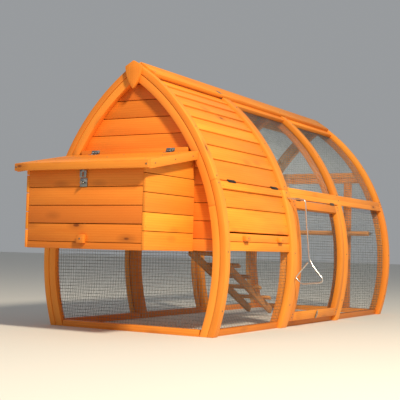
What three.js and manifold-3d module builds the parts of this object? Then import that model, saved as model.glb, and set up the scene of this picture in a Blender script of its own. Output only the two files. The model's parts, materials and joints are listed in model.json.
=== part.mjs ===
// Arched timber chicken coop: a boarded house with a nest box at the front, and a wire run behind it.
// Millimetres, +Z up, +X to the right, +Y from the nest box to the rear of the run.
// The origin is on the ground, under the middle of the front sill.

import * as THREE from "three";
import { mergeVertices } from "three/addons/utils/BufferGeometryUtils.js";
import Module from "manifold-3d";

const wasm = await Module();
wasm.setup();

// ---------------------------------------------------------------- driving dimensions

const APEX_Z = 1280; // top of the outer arch
const BULGE_Z = 348; // height at which the arch is widest
const BULGE_X = 519; // half width there
const LENGTH = 2248; // front rib to rear rib, outside
const RIB_Y = 45; // thickness of the front and rear ribs and of their sills
const CAP_DEPTH = 30; // radial depth of a rib's outer lamination
const WEB_DEPTH = 70; // radial depth of a whole rib
const GAP = 0.3; // running gap between touching solids
const MESH_T = 2; // thickness of the plate that stands for the welded mesh
const FACET = 2.6; // degrees between the points of an arc

const MIDDLE_RIB = [710, 785]; // front and rear faces, measured from the front of the coop
const INTER_RIB = [1445, 1505];
const SILL_Z = 30; // height of the sills
const FLOOR_Z = 392; // underside of the house
const FLOOR_TOP = 434;
const RAIL_Z = [673, 730]; // waist rail of the run

const FLAP_TOP = 19.7; // degrees up the arch, of the flap's hinge line
const FLAP_BOTTOM = 6.9;
const TRAY_BOTTOM = 4.6;
const RIDGE_END = 52.6; // degrees up the arch, of the ridge cap's lower edge

const BOX_HALF = 327; // nest box
const BOX_FRONT = -372;
const LID_HALF = 365;
const LID_FRONT = -416;
const LID_BACK_Z = 844;
const LID_FRONT_Z = 764;

// ---------------------------------------------------------------- arch geometry

const RISE = APEX_Z - BULGE_Z;
const R = (BULGE_X ** 2 + RISE ** 2) / (2 * BULGE_X); // radius of each side's arc
const ARC_X = BULGE_X - R; // centre of the right-hand arc
const rad = THREE.MathUtils.degToRad;
const y = (fromFront) => fromFront - RIB_Y / 2; // model Y of a distance from the coop's front

// Angles up the arc at which a circle of radius r meets a height, an upright line or a fixed angle.
const atZ = (z) => (r) => Math.asin((z - BULGE_Z) / r);
const atX = (x) => (r) => Math.acos((x - ARC_X) / r);
const atDeg = (degrees) => () => rad(degrees);

function arcPoint(r, angle, side = 1) {
  return [side * (ARC_X + r * Math.cos(angle)), BULGE_Z + r * Math.sin(angle)];
}

// Points along an arc of radius r, at most FACET degrees apart.
function arcPoints(r, from, to, side = 1) {
  const steps = Math.ceil(Math.abs(to - from) / rad(FACET));
  const points = [];
  for (let i = 0; i <= steps; i++) {
    points.push(arcPoint(r, from + ((to - from) * i) / steps, side));
  }
  return points;
}

// Outline in X and Z of a band that follows the arch between two radii and two ends.
function bandOutline(rIn, rOut, from, to, side = 1) {
  return [...arcPoints(rOut, from(rOut), to(rOut), side), ...arcPoints(rIn, to(rIn), from(rIn), side)];
}

// Closed outline of a gable-shaped panel of radius r, from a flat foot to the apex or a flat top.
function gableOutline(r, footZ, top = atX(1)) {
  const right = arcPoints(r, atZ(footZ)(r), top(r));
  const left = right.map(([x, z]) => [-x, z]).reverse();
  return [...right, ...left];
}

// ---------------------------------------------------------------- solids

const toShape = (points) => new THREE.Shape(points.map(([a, b]) => new THREE.Vector2(a, b)));

// Extrudes an X-Z outline along Y, between two distances from the coop's front.
function alongY(points, y0, y1) {
  const geometry = new THREE.ExtrudeGeometry(toShape(points), { depth: y1 - y0, bevelEnabled: false });
  return geometry.rotateX(Math.PI / 2).translate(0, y(y1), 0);
}

// Extrudes a Y-Z outline along X. Its Y values are distances from the coop's front.
function alongX(points, x0, x1) {
  const shape = toShape(points.map(([a, b]) => [y(a), b]));
  const geometry = new THREE.ExtrudeGeometry(shape, { depth: x1 - x0, bevelEnabled: false });
  const turn = new THREE.Matrix4().set(0, 0, 1, x0, 1, 0, 0, 0, 0, 1, 0, 0, 0, 0, 0, 1);
  return geometry.applyMatrix4(turn);
}

function block(x0, x1, y0, y1, z0, z1) {
  const geometry = new THREE.BoxGeometry(x1 - x0, y1 - y0, z1 - z0);
  return geometry.translate((x0 + x1) / 2, (y(y0) + y(y1)) / 2, (z0 + z1) / 2);
}

function toSolid(geometry) {
  const bare = geometry.clone();
  bare.deleteAttribute("normal");
  bare.deleteAttribute("uv");
  const merged = mergeVertices(bare, 1e-4);
  const mesh = new wasm.Mesh({
    numProp: 3,
    vertProperties: new Float32Array(merged.attributes.position.array),
    triVerts: new Uint32Array(merged.index.array),
  });
  return new wasm.Manifold(mesh);
}

function toGeometry(solid) {
  const mesh = solid.getMesh();
  const geometry = new THREE.BufferGeometry();
  geometry.setAttribute("position", new THREE.BufferAttribute(mesh.vertProperties, 3));
  geometry.setIndex(new THREE.BufferAttribute(mesh.triVerts, 1));
  geometry.computeVertexNormals();
  return geometry;
}

const join = (...pieces) => toGeometry(pieces.map(toSolid).reduce((a, b) => a.add(b)));
const cut = (piece, ...tools) => toGeometry(tools.map(toSolid).reduce((a, b) => a.subtract(b), toSolid(piece)));

// ---------------------------------------------------------------- materials

const finish = (color, roughness, metalness = 0) => new THREE.MeshStandardMaterial({ color, roughness, metalness });
const ribTimber = finish("#f09a45", 0.55);
const boardTimber = finish("#ee8f3c", 0.58);
const gableTimber = finish("#e07a30", 0.58);
const innerTimber = finish("#d99a62", 0.7);
const meshWire = finish("#8d9490", 0.45, 0.8);
const zinc = finish("#c9ccce", 0.35, 0.9);
const blackSteel = finish("#2a2420", 0.5, 0.6);

const coop = new THREE.Group();

function add(name, geometry, material) {
  const mesh = new THREE.Mesh(geometry, material);
  mesh.name = name;
  coop.add(mesh);
}

const SIDES = [["left", -1], ["right", 1]];
const cap = R - CAP_DEPTH;
const web = R - WEB_DEPTH;

// ---------------------------------------------------------------- sills

const SILL_OUT = R - 20;
const SILL_IN = R - 58;
const sillEnd = 387;

function sideSill(side, slack = 0) {
  const outline = bandOutline(SILL_IN - slack, SILL_OUT + slack, atZ(-slack), atZ(SILL_Z + slack), side);
  return alongY(outline, RIB_Y + 1.6 - slack, LENGTH - RIB_Y - GAP + slack);
}

add("front_sill", block(-sillEnd, sillEnd, 0, RIB_Y, 0, SILL_Z), ribTimber);
add("rear_sill", block(-sillEnd, sillEnd, LENGTH - RIB_Y, LENGTH, 0, SILL_Z), ribTimber);
for (const [name, side] of SIDES) {
  add(`side_sill_${name}`, sideSill(side), ribTimber);
}

// ---------------------------------------------------------------- ribs, rails and ridge

// Door stops: strips behind the run door's stiles, on the two ribs beside it.
const doorStop = (y0, y1) => alongY(bandOutline(cap - 12, cap + 0.1, atZ(SILL_Z + 1), atDeg(16.9)), y0, y1);

const railOutline = (side, slack = 0) =>
  bandOutline(cap - slack, R + slack, atZ(RAIL_Z[0] - slack), atZ(RAIL_Z[1] + slack), side);

// Pull rod: where it leaves the coop through the right-hand middle rib.
const ROD_Y = (MIDDLE_RIB[0] + MIDDLE_RIB[1]) / 2;
const ROD_Z = 670;
const ROD_R = 3.5;

function rodBore() {
  const bore = new THREE.CylinderGeometry(ROD_R + 3, ROD_R + 3, 200, 16);
  return bore.rotateZ(Math.PI / 2).translate(430, y(ROD_Y), ROD_Z);
}

for (const [name, side] of SIDES) {
  const toApex = atX(GAP / 2);
  const foot = atZ(0);
  const underRidge = atDeg(RIDGE_END - 0.2);

  add(
    `front_rib_${name}`,
    join(
      alongY(bandOutline(cap, R, foot, toApex, side), 0, RIB_Y),
      alongY(bandOutline(web, cap + 1, foot, toApex, side), 2, 34),
    ),
    ribTimber,
  );

  const stops = side > 0;
  const middle = join(
    alongY(bandOutline(cap, R, foot, underRidge, side), ...MIDDLE_RIB),
    alongY(bandOutline(web, cap + 1, foot, toApex, side), MIDDLE_RIB[0] + 5, MIDDLE_RIB[1] - 5),
    ...(stops ? [doorStop(MIDDLE_RIB[1] - 6, MIDDLE_RIB[1] + 12)] : []),
  );
  const middleTools = [sideSill(side, GAP)];
  if (side > 0) middleTools.push(rodBore());
  add(`middle_rib_${name}`, cut(middle, ...middleTools), ribTimber);

  const inter = join(
    alongY(bandOutline(cap, R, foot, underRidge, side), ...INTER_RIB),
    alongY(bandOutline(web, cap + 1, foot, toApex, side), INTER_RIB[0] + 5, INTER_RIB[1] - 5),
    ...(stops ? [doorStop(INTER_RIB[0] - 12, INTER_RIB[0] + 6)] : []),
  );
  const railRoom = alongY(railOutline(side, GAP), INTER_RIB[0] - 5, INTER_RIB[1] + 5);
  add(`intermediate_rib_${name}`, cut(inter, sideSill(side, GAP), railRoom), ribTimber);

  const rear = join(
    alongY(bandOutline(cap, R, foot, toApex, side), LENGTH - RIB_Y, LENGTH),
    alongY(bandOutline(web, cap + 1, foot, toApex, side), LENGTH - RIB_Y, LENGTH),
  );
  add(`rear_rib_${name}`, rear, ribTimber);

  const rail = alongY(railOutline(side), MIDDLE_RIB[1] + GAP, LENGTH - RIB_Y - GAP);
  add(`waist_rail_${name}`, rail, ribTimber);
}

// Ridge cap: two planks along the first stretch of each arc, joined at the apex, with a batten
// under each plank's lower edge in the bays of the run.
const CAP_ABOVE = 10;
const CAP_BELOW = 8;
const [capX, capZ] = arcPoint(R, rad(RIDGE_END));
const capLength = Math.hypot(capX, APEX_Z - capZ);
const capNormal = [(APEX_Z - capZ) / capLength, capX / capLength];
const ridgeRight = [
  [capX + CAP_ABOVE * capNormal[0], capZ + CAP_ABOVE * capNormal[1]],
  [capX - CAP_BELOW * capNormal[0], capZ - CAP_BELOW * capNormal[1]],
];
const ridgeOutline = [
  [0, APEX_Z + CAP_ABOVE / capNormal[1]],
  ...ridgeRight,
  [0, APEX_Z - CAP_BELOW / capNormal[1]],
  ...ridgeRight.map(([x, z]) => [-x, z]).reverse(),
];
const BATTEN_DEG = [50.5, 53.6];
const battens = SIDES.flatMap(([, side]) =>
  [[MIDDLE_RIB[1] + GAP, INTER_RIB[0] - GAP], [INTER_RIB[1] + GAP, LENGTH - RIB_Y - GAP]].map((bay) =>
    alongY(bandOutline(cap + GAP, R - CAP_BELOW, atDeg(BATTEN_DEG[0]), atDeg(BATTEN_DEG[1]), side), ...bay),
  ),
);
add("ridge_cap", join(alongY(ridgeOutline, RIB_Y + GAP, LENGTH - RIB_Y - GAP), ...battens), boardTimber);

// Finial: a shield at the front apex, outside the ribs.
const FINIAL = { half: 46, top: 1288, shoulder: 1262, tip: 1150, thickness: 18 };
const finialShape = new THREE.Shape();
finialShape.moveTo(0, FINIAL.tip);
finialShape.quadraticCurveTo(FINIAL.half * 0.95, FINIAL.tip + 52, FINIAL.half, FINIAL.shoulder);
finialShape.lineTo(0, FINIAL.top);
finialShape.lineTo(-FINIAL.half, FINIAL.shoulder);
finialShape.quadraticCurveTo(-FINIAL.half * 0.95, FINIAL.tip + 52, 0, FINIAL.tip);
const finial = new THREE.ExtrudeGeometry(finialShape, {
  depth: FINIAL.thickness,
  bevelEnabled: false,
  curveSegments: 6,
});
finial.rotateX(Math.PI / 2);
add("finial", finial.translate(0, y(-GAP), 0), boardTimber);

// ---------------------------------------------------------------- boarding of the house

// Shiplap over the arch: each board is flat, and its lower edge stands proud of the one below.
const LAP_OUT = R - 10;
const LAP_IN = R - 17;
const BOARD_BACK = R - 27;

function shiplapOutline(angles, side, proud = LAP_OUT) {
  const outer = [];
  for (let i = 0; i < angles.length - 1; i++) {
    outer.push(arcPoint(i === angles.length - 2 ? proud : LAP_OUT, rad(angles[i]), side));
    outer.push(arcPoint(i === angles.length - 2 ? proud : LAP_IN, rad(angles[i + 1]), side));
  }
  const inner = [...angles].reverse().map((degrees) => arcPoint(BOARD_BACK, rad(degrees), side));
  return [...outer, ...inner];
}

const boardFront = RIB_Y + 1.6;
const boardRear = MIDDLE_RIB[0] - GAP;
const UPPER_LAPS = [25.4, 29.6, 34, 38.2, 42.2, 46, 49.6, 53.2, 57];
const LOWER_LAPS = [2.4, 6.9, 12.9, 17.5];

add(
  "roof_boards_right",
  alongY(shiplapOutline([FLAP_TOP + 0.1, ...UPPER_LAPS], 1), boardFront, boardRear),
  boardTimber,
);
add(
  "roof_boards_left",
  alongY(shiplapOutline([...LOWER_LAPS, 21.2, ...UPPER_LAPS], -1), boardFront, boardRear),
  boardTimber,
);

const EDGE_IN = R - 38;
const EDGE_OUT = R - 12;
const edgeRail = bandOutline(EDGE_IN, EDGE_OUT, atZ(FLOOR_Z), atDeg(TRAY_BOTTOM - 0.1));
add("house_edge_rail_right", alongY(edgeRail, boardFront, boardRear), boardTimber);

// Gable boards, with the two nest entrances.
const GABLE = [34.3, 46.3];
const NEST_HOLE = { inner: 20, outer: 290, bottom: 442, top: 690 };
const nestHoles = [
  block(NEST_HOLE.inner, NEST_HOLE.outer, 30, 50, NEST_HOLE.bottom, NEST_HOLE.top),
  block(-NEST_HOLE.outer, -NEST_HOLE.inner, 30, 50, NEST_HOLE.bottom, NEST_HOLE.top),
];
// The ledger across the gable carries the hinges of the nest lid.
const LEDGER = { half: 304, front: -1, bottom: 800, top: 864 };
add(
  "gable_boards",
  join(
    cut(alongY(gableOutline(R - 31, 386), ...GABLE), ...nestHoles),
    block(-LEDGER.half, LEDGER.half, LEDGER.front, GABLE[0] + 1, LEDGER.bottom, LEDGER.top),
  ),
  gableTimber,
);

// ---------------------------------------------------------------- inside the house

add("house_floor", block(-474, 474, GABLE[1] + GAP, MIDDLE_RIB[0], 418, FLOOR_TOP - GAP), innerTimber);

const PARTITION = [716, 728];
const DOORWAY = { left: -180, right: 70, bottom: 450, top: 690 };
const TRACK_END = 345;
const doorwayHole = block(DOORWAY.left, DOORWAY.right, 700, 740, DOORWAY.bottom, DOORWAY.top);
add(
  "partition",
  join(
    cut(alongY(gableOutline(web - 1, FLOOR_Z), ...PARTITION), doorwayHole),
    block(DOORWAY.left - 15, TRACK_END, PARTITION[1] - 1, 744, 422, 434),
    block(DOORWAY.left - 15, TRACK_END, PARTITION[1] - 1, 744, 700, 712),
  ),
  innerTimber,
);

const POP = { left: DOORWAY.left - 8, right: DOORWAY.right + 14, bottom: 436, top: 698 };
add(
  "pop_door",
  join(
    block(POP.left, POP.right, 731, 741, POP.bottom, POP.top),
    block(POP.right - 26, POP.right, 740, 756, ROD_Z - 14, ROD_Z + 14),
  ),
  innerTimber,
);

// Pull rod: one bent wire in the X-Z plane, ending in a triangular grip.
const rodRoute = [
  [POP.right + GAP, 670], [200, 670], [320, 670], [440, 670], [484, 669.5], [520, 666.5], [553, 663.5],
  [564, 660], [569, 651], [575, 600], [583, 520], [591, 440], [600, 362], [607, 344], [636, 303],
  [671, 262], [672, 248], [658, 240], [612, 235], [568, 231], [556, 235], [530, 256], [527, 264],
  [538, 279], [568, 314], [592, 341],
];
const rodCurve = new THREE.CatmullRomCurve3(
  rodRoute.map(([x, z]) => new THREE.Vector3(x, y(ROD_Y), z)),
  false,
  "centripetal",
);
const rodSection = new THREE.Shape();
for (let i = 0; i < 8; i++) {
  const angle = (i / 8) * 2 * Math.PI;
  const point = [ROD_R * Math.cos(angle), ROD_R * Math.sin(angle)];
  if (i === 0) rodSection.moveTo(...point);
  else rodSection.lineTo(...point);
}
add("pull_rod", new THREE.ExtrudeGeometry(rodSection, { steps: 70, extrudePath: rodCurve }), zinc);

add("house_perch", block(225, 270, GABLE[1] + GAP, PARTITION[0] - GAP, 590, 622), innerTimber);

// Droppings tray: a metal pan behind a timber front that fills the slot under the flap.
const trayFront = bandOutline(EDGE_IN, EDGE_OUT, atDeg(TRAY_BOTTOM), atDeg(FLAP_BOTTOM - 0.35));
const PULL = { half: 22, depth: 16, bottom: 439, top: 462 };
const trayEnds = [boardFront + 1.4, boardRear - 1.4];
const trayPulls = [212, 583].map((middle) =>
  block(500, 507 + PULL.depth, middle - PULL.half, middle + PULL.half, PULL.bottom, PULL.top),
);
const panWall = 3;
const pan = { left: -430, right: 482, front: 54, rear: 702, bottom: 436, top: 458 };
const panHollow = block(
  pan.left + panWall, pan.right + 9,
  pan.front + panWall, pan.rear - panWall,
  pan.bottom + panWall, pan.top + 9,
);
add(
  "droppings_tray",
  join(
    cut(block(pan.left, pan.right, pan.front, pan.rear, pan.bottom, pan.top), panHollow),
    alongY(trayFront, ...trayEnds),
    ...trayPulls,
  ),
  boardTimber,
);

// ---------------------------------------------------------------- side flap

const FLAP_AXIS_R = R - 5;
const flapOutline = shiplapOutline([FLAP_BOTTOM, 12.9, 17.5, FLAP_TOP - 0.2], 1, R - 6);
add("side_flap", alongY(flapOutline, boardFront + 1, boardRear - 1), boardTimber);

// Butt hinge on the arch: a barrel on the axis with a leaf on the fixed board above it.
function archHinge(axisR, axisDeg, leafR, leafDeg, y0, y1) {
  const [x, z] = arcPoint(axisR, rad(axisDeg));
  const barrel = new THREE.CylinderGeometry(3, 3, y1 - y0, 12).translate(x, y((y0 + y1) / 2), z);
  const leaf = alongY(bandOutline(leafR, leafR + 2, atDeg(axisDeg + 0.12), atDeg(axisDeg + leafDeg)), y0, y1);
  const knuckle = alongY(
    bandOutline(leafR, axisR, atDeg(axisDeg + 0.1), atDeg(axisDeg + 0.2)),
    y0 + 2,
    y1 - 2,
  );
  return join(barrel, leaf, knuckle);
}
add("flap_hinge_front", archHinge(FLAP_AXIS_R, FLAP_TOP, LAP_OUT + GAP, 0.55, 130, 205), blackSteel);
add("flap_hinge_rear", archHinge(FLAP_AXIS_R, FLAP_TOP, LAP_OUT + GAP, 0.55, 590, 665), blackSteel);

// ---------------------------------------------------------------- run door

const DOOR = { y0: MIDDLE_RIB[1] + 2, y1: INTER_RIB[0] - 2, topDeg: 16.95, bottomZ: 32, stile: 46, rail: 45 };
const DOOR_AXIS_DEG = 17.15;
const DOOR_AXIS_R = R + 2.5;
const doorTop = atDeg(DOOR.topDeg);
const doorRailDeg = (DOOR.rail / R) * (180 / Math.PI);
const doorBody = alongY(bandOutline(cap + GAP, R, atZ(DOOR.bottomZ), doorTop), DOOR.y0, DOOR.y1);
const doorLight = alongY(
  bandOutline(cap - 5, R + 5, atZ(DOOR.bottomZ + DOOR.rail), atDeg(DOOR.topDeg - doorRailDeg)),
  DOOR.y0 + DOOR.stile,
  DOOR.y1 - DOOR.stile,
);
add("run_door_frame", cut(doorBody, doorLight), ribTimber);
add(
  "run_door_mesh",
  alongY(
    bandOutline(cap - MESH_T, cap, atZ(DOOR.bottomZ + 12), atDeg(DOOR.topDeg - 0.6)),
    DOOR.y0 + 14,
    DOOR.y1 - 14,
  ),
  meshWire,
);
add("run_door_hinge_front", archHinge(DOOR_AXIS_R, DOOR_AXIS_DEG, R + GAP, 0.4, 850, 905), zinc);
add("run_door_hinge_rear", archHinge(DOOR_AXIS_R, DOOR_AXIS_DEG, R + GAP, 0.4, 1325, 1380), zinc);

// Turn button on the door's bottom rail, lying against the curved face.
const LATCH = { z: 54, y: 1128, long: 44, wide: 13, thick: 4 };
const latchDeg = THREE.MathUtils.radToDeg(atZ(LATCH.z)(R));
const latchBar = new THREE.BoxGeometry(LATCH.thick, LATCH.wide, LATCH.long);
const latchHub = new THREE.CylinderGeometry(8, 8, LATCH.thick + 3, 16).rotateZ(Math.PI / 2);
const latch = join(latchBar, latchHub.translate(0.5, 0, 0));
const [latchX, latchZ] = arcPoint(R + 4, rad(latchDeg));
latch.rotateY(-rad(latchDeg)).translate(latchX, y(LATCH.y), latchZ);
add("run_door_latch", latch, zinc);

// ---------------------------------------------------------------- welded mesh panels

function meshPanel(name, side, from, to, y0, y1) {
  add(name, alongY(bandOutline(cap - MESH_T - GAP, cap - GAP, from, to, side), y0, y1), meshWire);
}

const aboveSill = atZ(SILL_Z + 1);
const belowRail = atZ(RAIL_Z[0] - 1);
const aboveRail = atZ(RAIL_Z[0] + 20);
const underCap = atDeg(54);
const bayOne = [MIDDLE_RIB[1] - 5 + GAP, INTER_RIB[0] + 5 - GAP];
const bayTwo = [INTER_RIB[1] - 5 + GAP, LENGTH - RIB_Y - GAP];
const underHouse = [GABLE[1] + GAP, MIDDLE_RIB[0] + 5 - GAP];
for (const [name, side] of SIDES) {
  meshPanel(`house_mesh_${name}`, side, aboveSill, atZ(FLOOR_Z - 2), ...underHouse);
  meshPanel(`roof_mesh_front_${name}`, side, aboveRail, underCap, ...bayOne);
  meshPanel(`roof_mesh_rear_${name}`, side, aboveRail, underCap, ...bayTwo);
  meshPanel(`run_mesh_rear_${name}`, side, aboveSill, belowRail, ...bayTwo);
}
meshPanel("run_mesh_front_left", -1, aboveSill, belowRail, ...bayOne);

add("front_mesh", alongY(gableOutline(web - 1, SILL_Z + 1, atZ(382)), 18, 18 + MESH_T), meshWire);
const rearMeshY = LENGTH - RIB_Y - GAP;
add("rear_mesh", alongY(gableOutline(R - 34, SILL_Z + 1), rearMeshY - MESH_T, rearMeshY), meshWire);

// ---------------------------------------------------------------- rear gable frame and run fittings

const rearEnds = [LENGTH - RIB_Y + 5, LENGTH - 5];
const postX = [207, 251];
const REAR_RAIL = [859, 930];
add(
  "rear_frame",
  join(
    alongY(gableOutline(web - 1, REAR_RAIL[0], atZ(REAR_RAIL[1])), ...rearEnds),
    block(postX[0], postX[1], ...rearEnds, SILL_Z + GAP, REAR_RAIL[0] + 1),
    block(-postX[1], -postX[0], ...rearEnds, SILL_Z + GAP, REAR_RAIL[0] + 1),
  ),
  ribTimber,
);

const PERCH = { y: 1990, z: 520, r: 15, half: 466 };
const runPerch = new THREE.CylinderGeometry(PERCH.r, PERCH.r, 2 * PERCH.half, 20).rotateZ(Math.PI / 2);
add("run_perch", runPerch.translate(0, y(PERCH.y), PERCH.z), innerTimber);

// Ladder from the pop door down to the ground inside the run.
const LADDER = { x: -56, half: 82, topY: 762, topZ: 366, footY: 1510, footZ: 12, deep: 40, wide: 20 };
const ladderRun = LADDER.footY - LADDER.topY;
const ladderDrop = LADDER.topZ - LADDER.footZ;
const ladderLength = Math.hypot(ladderRun, ladderDrop);
const RUNGS = { count: 5, pitch: 150, first: 70, long: 250, wide: 30, thick: 16 };

function ladderPiece(x0, x1, along0, along1, up0, up1) {
  const geometry = new THREE.BoxGeometry(x1 - x0, along1 - along0, up1 - up0);
  geometry.translate((x0 + x1) / 2, (along0 + along1) / 2, (up0 + up1) / 2);
  geometry.rotateX(-Math.atan2(ladderDrop, ladderRun));
  return geometry.translate(0, y(LADDER.topY), LADDER.topZ);
}

const ladderPieces = [-1, 1].map((side) => {
  const outer = LADDER.x + side * LADDER.half;
  const inner = outer - side * LADDER.wide;
  return ladderPiece(Math.min(outer, inner), Math.max(outer, inner), 12, ladderLength - 8, 0, LADDER.deep);
});
for (let i = 0; i < RUNGS.count; i++) {
  const at = RUNGS.first + i * RUNGS.pitch;
  const half = RUNGS.long / 2;
  ladderPieces.push(
    ladderPiece(
      LADDER.x - half, LADDER.x + half,
      at, at + RUNGS.wide,
      LADDER.deep - 2, LADDER.deep + RUNGS.thick - 2,
    ),
  );
}
add("ladder", join(...ladderPieces), innerTimber);

// ---------------------------------------------------------------- nest box

const LID_SLOPE = (LID_BACK_Z - LID_FRONT_Z) / -LID_FRONT;
const lidZ = (fromFront) => LID_BACK_Z + fromFront * LID_SLOPE; // lid's top surface, in front of the ribs
const LID_T = 15;
const SIDE_T = 14;
const boxInner = BOX_FRONT + SIDE_T;
const lidUnder = (fromFront) => lidZ(fromFront) - LID_T - 1.5;

for (const [name, side] of SIDES) {
  const outline = [
    [BOX_FRONT, 383], [GABLE[0] - GAP, 383], [GABLE[0] - GAP, lidUnder(-2)],
    [-2, lidUnder(-2)], [BOX_FRONT, lidUnder(BOX_FRONT)],
  ];
  const faces = [side * BOX_HALF, side * (BOX_HALF - SIDE_T)].sort((a, b) => a - b);
  add(`nest_side_${name}`, alongX(outline, ...faces), boardTimber);
}

const NEST_LINES = { railTop: 412, trayTop: 493 };
const frontTop = lidUnder(BOX_FRONT);
const innerHalf = BOX_HALF - SIDE_T - GAP;
const frontFace = [BOX_FRONT + 1, boxInner];
add(
  "nest_front",
  block(-innerHalf, innerHalf, ...frontFace, NEST_LINES.trayTop + 2, frontTop),
  gableTimber,
);

add(
  "nest_floor",
  join(
    block(-innerHalf, innerHalf, ...frontFace, 383, NEST_LINES.railTop),
    block(-innerHalf, innerHalf, boxInner - 1, GABLE[0] - GAP, 396, NEST_LINES.railTop - 2),
  ),
  gableTimber,
);

const KNOB = { half: 20, bottom: 408, top: 447, depth: 20 };
const nestPan = { half: 300, rear: GABLE[0] - 6, bottom: NEST_LINES.railTop + 2, top: 436 };
const nestHollow = block(
  -nestPan.half + 8, nestPan.half - 8,
  boxInner + 1, nestPan.rear - 8,
  nestPan.bottom + 6, nestPan.top + 9,
);
add(
  "nest_tray",
  join(
    cut(
      block(-nestPan.half, nestPan.half, boxInner - 1, nestPan.rear, nestPan.bottom, nestPan.top),
      nestHollow,
    ),
    block(-innerHalf, innerHalf, ...frontFace, NEST_LINES.railTop + 1.5, NEST_LINES.trayTop),
    block(-KNOB.half, KNOB.half, BOX_FRONT - KNOB.depth, BOX_FRONT + 0.5, KNOB.bottom, KNOB.top),
    block(-6, 6, BOX_FRONT - 1, BOX_FRONT + 2, 422, 434),
  ),
  gableTimber,
);

const dividerOutline = [
  [boxInner + 2, 442], [GABLE[0] - 1, 442], [GABLE[0] - 1, 790], [boxInner + 2, lidUnder(boxInner) - 6],
];
add("nest_divider", alongX(dividerOutline, -6, 6), innerTimber);

// Lid: a sloping board with a rim on its front and its two sides.
const lidBack = -3;
const slab = (rim) => [
  [LID_FRONT, lidZ(LID_FRONT)], [lidBack, lidZ(lidBack)],
  [lidBack, lidZ(lidBack) - rim], [LID_FRONT, lidZ(LID_FRONT) - rim],
];
const RIM = { side: 40, front: 33, thickness: 18 };
add(
  "nest_lid",
  join(
    alongX(slab(LID_T), -LID_HALF, LID_HALF),
    alongX(slab(RIM.side), -LID_HALF, -LID_HALF + RIM.thickness),
    alongX(slab(RIM.side), LID_HALF - RIM.thickness, LID_HALF),
    block(
      -LID_HALF, LID_HALF,
      LID_FRONT, LID_FRONT + RIM.thickness,
      LID_FRONT_Z - RIM.front, LID_FRONT_Z - 4,
    ),
  ),
  boardTimber,
);

const LID_AXIS = { y: -6, z: 849 };
for (const [name, side] of SIDES) {
  const middle = side * 215;
  const barrel = new THREE.CylinderGeometry(3.4, 3.4, 46, 12).rotateZ(Math.PI / 2);
  add(
    `lid_hinge_${name}`,
    join(
      barrel.translate(middle, y(LID_AXIS.y), LID_AXIS.z),
      block(middle - 23, middle + 23, LID_AXIS.y + 2, LEDGER.front - GAP, LID_AXIS.z - 2, 862),
    ),
    zinc,
  );
}

// Hasp hung under the lid behind its rim, and its staple on the box.
const HASP = { half: 18, axisY: -380, axisZ: 751.8, bottom: 697 };
const haspBarrel = new THREE.CylinderGeometry(3, 3, 2 * HASP.half, 12).rotateZ(Math.PI / 2);
add(
  "lid_hasp",
  join(
    haspBarrel.translate(0, y(HASP.axisY), HASP.axisZ),
    block(-HASP.half, HASP.half, HASP.axisY - 1.5, HASP.axisY + 1.5, HASP.bottom, HASP.axisZ),
  ),
  zinc,
);
add(
  "hasp_staple",
  join(
    block(-20, 20, BOX_FRONT - 3, BOX_FRONT + 1 - GAP, 657, 694),
    block(-9, 9, BOX_FRONT - 24, BOX_FRONT - 2, 670, 679),
  ),
  zinc,
);

export default coop;
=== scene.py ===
# %% [markdown]
# # An arched chicken coop
# The real coop is a row of bent softwood arches. A boarded house fills the front bay, and a
# nest box hangs on its gable. Welded mesh closes the other bays to make a run. Everything here
# is measured in metres, with Z up and Y running from the nest box to the rear of the run.

# %% Frame
import json
import math
import random

import bmesh
import bpy
from mathutils import Matrix, Vector

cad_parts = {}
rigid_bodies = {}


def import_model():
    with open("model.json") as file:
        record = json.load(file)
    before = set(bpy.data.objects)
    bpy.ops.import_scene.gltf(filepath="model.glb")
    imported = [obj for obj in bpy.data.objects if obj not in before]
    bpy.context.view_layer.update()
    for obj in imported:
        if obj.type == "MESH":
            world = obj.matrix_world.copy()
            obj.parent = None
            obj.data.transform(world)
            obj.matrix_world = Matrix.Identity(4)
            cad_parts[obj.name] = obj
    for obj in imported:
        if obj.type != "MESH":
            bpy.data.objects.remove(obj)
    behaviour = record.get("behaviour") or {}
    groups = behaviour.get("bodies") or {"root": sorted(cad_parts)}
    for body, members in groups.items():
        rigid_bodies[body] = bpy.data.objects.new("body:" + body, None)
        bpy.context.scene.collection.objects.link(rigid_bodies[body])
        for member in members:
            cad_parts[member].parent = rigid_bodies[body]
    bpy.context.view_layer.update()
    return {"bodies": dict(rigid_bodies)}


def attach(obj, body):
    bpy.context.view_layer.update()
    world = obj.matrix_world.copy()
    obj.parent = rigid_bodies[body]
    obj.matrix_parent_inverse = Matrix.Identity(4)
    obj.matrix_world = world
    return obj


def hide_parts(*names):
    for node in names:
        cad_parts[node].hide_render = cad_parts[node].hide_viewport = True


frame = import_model()

# %% [markdown]
# ## Camera
# A long lens stands low beside the nest box, so that the gable and the whole right side show.
# Three small turns place it: yaw about the upright, pitch up or down, and a slight roll.
# They could be set by hand with a tracking constraint, but plain vectors keep the roll exact.

# %% Camera
EYE = Vector((2.498, -3.669, 0.398))
YAW, PITCH, ROLL = 0.5266, 0.0522, 0.0259
FOCAL_MM = 83.58


def camera_axes(yaw, pitch, roll):
    """Right, up and backward axes of a camera, as the columns of a matrix."""
    ahead = Vector(
        (-math.sin(yaw) * math.cos(pitch), math.cos(yaw) * math.cos(pitch), math.sin(pitch))
    )
    level = Vector((math.cos(yaw), math.sin(yaw), 0))
    upright = level.cross(ahead)
    right = level * math.cos(roll) + upright * math.sin(roll)
    up = upright * math.cos(roll) - level * math.sin(roll)
    return Matrix((right, up, -ahead)).transposed()


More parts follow.
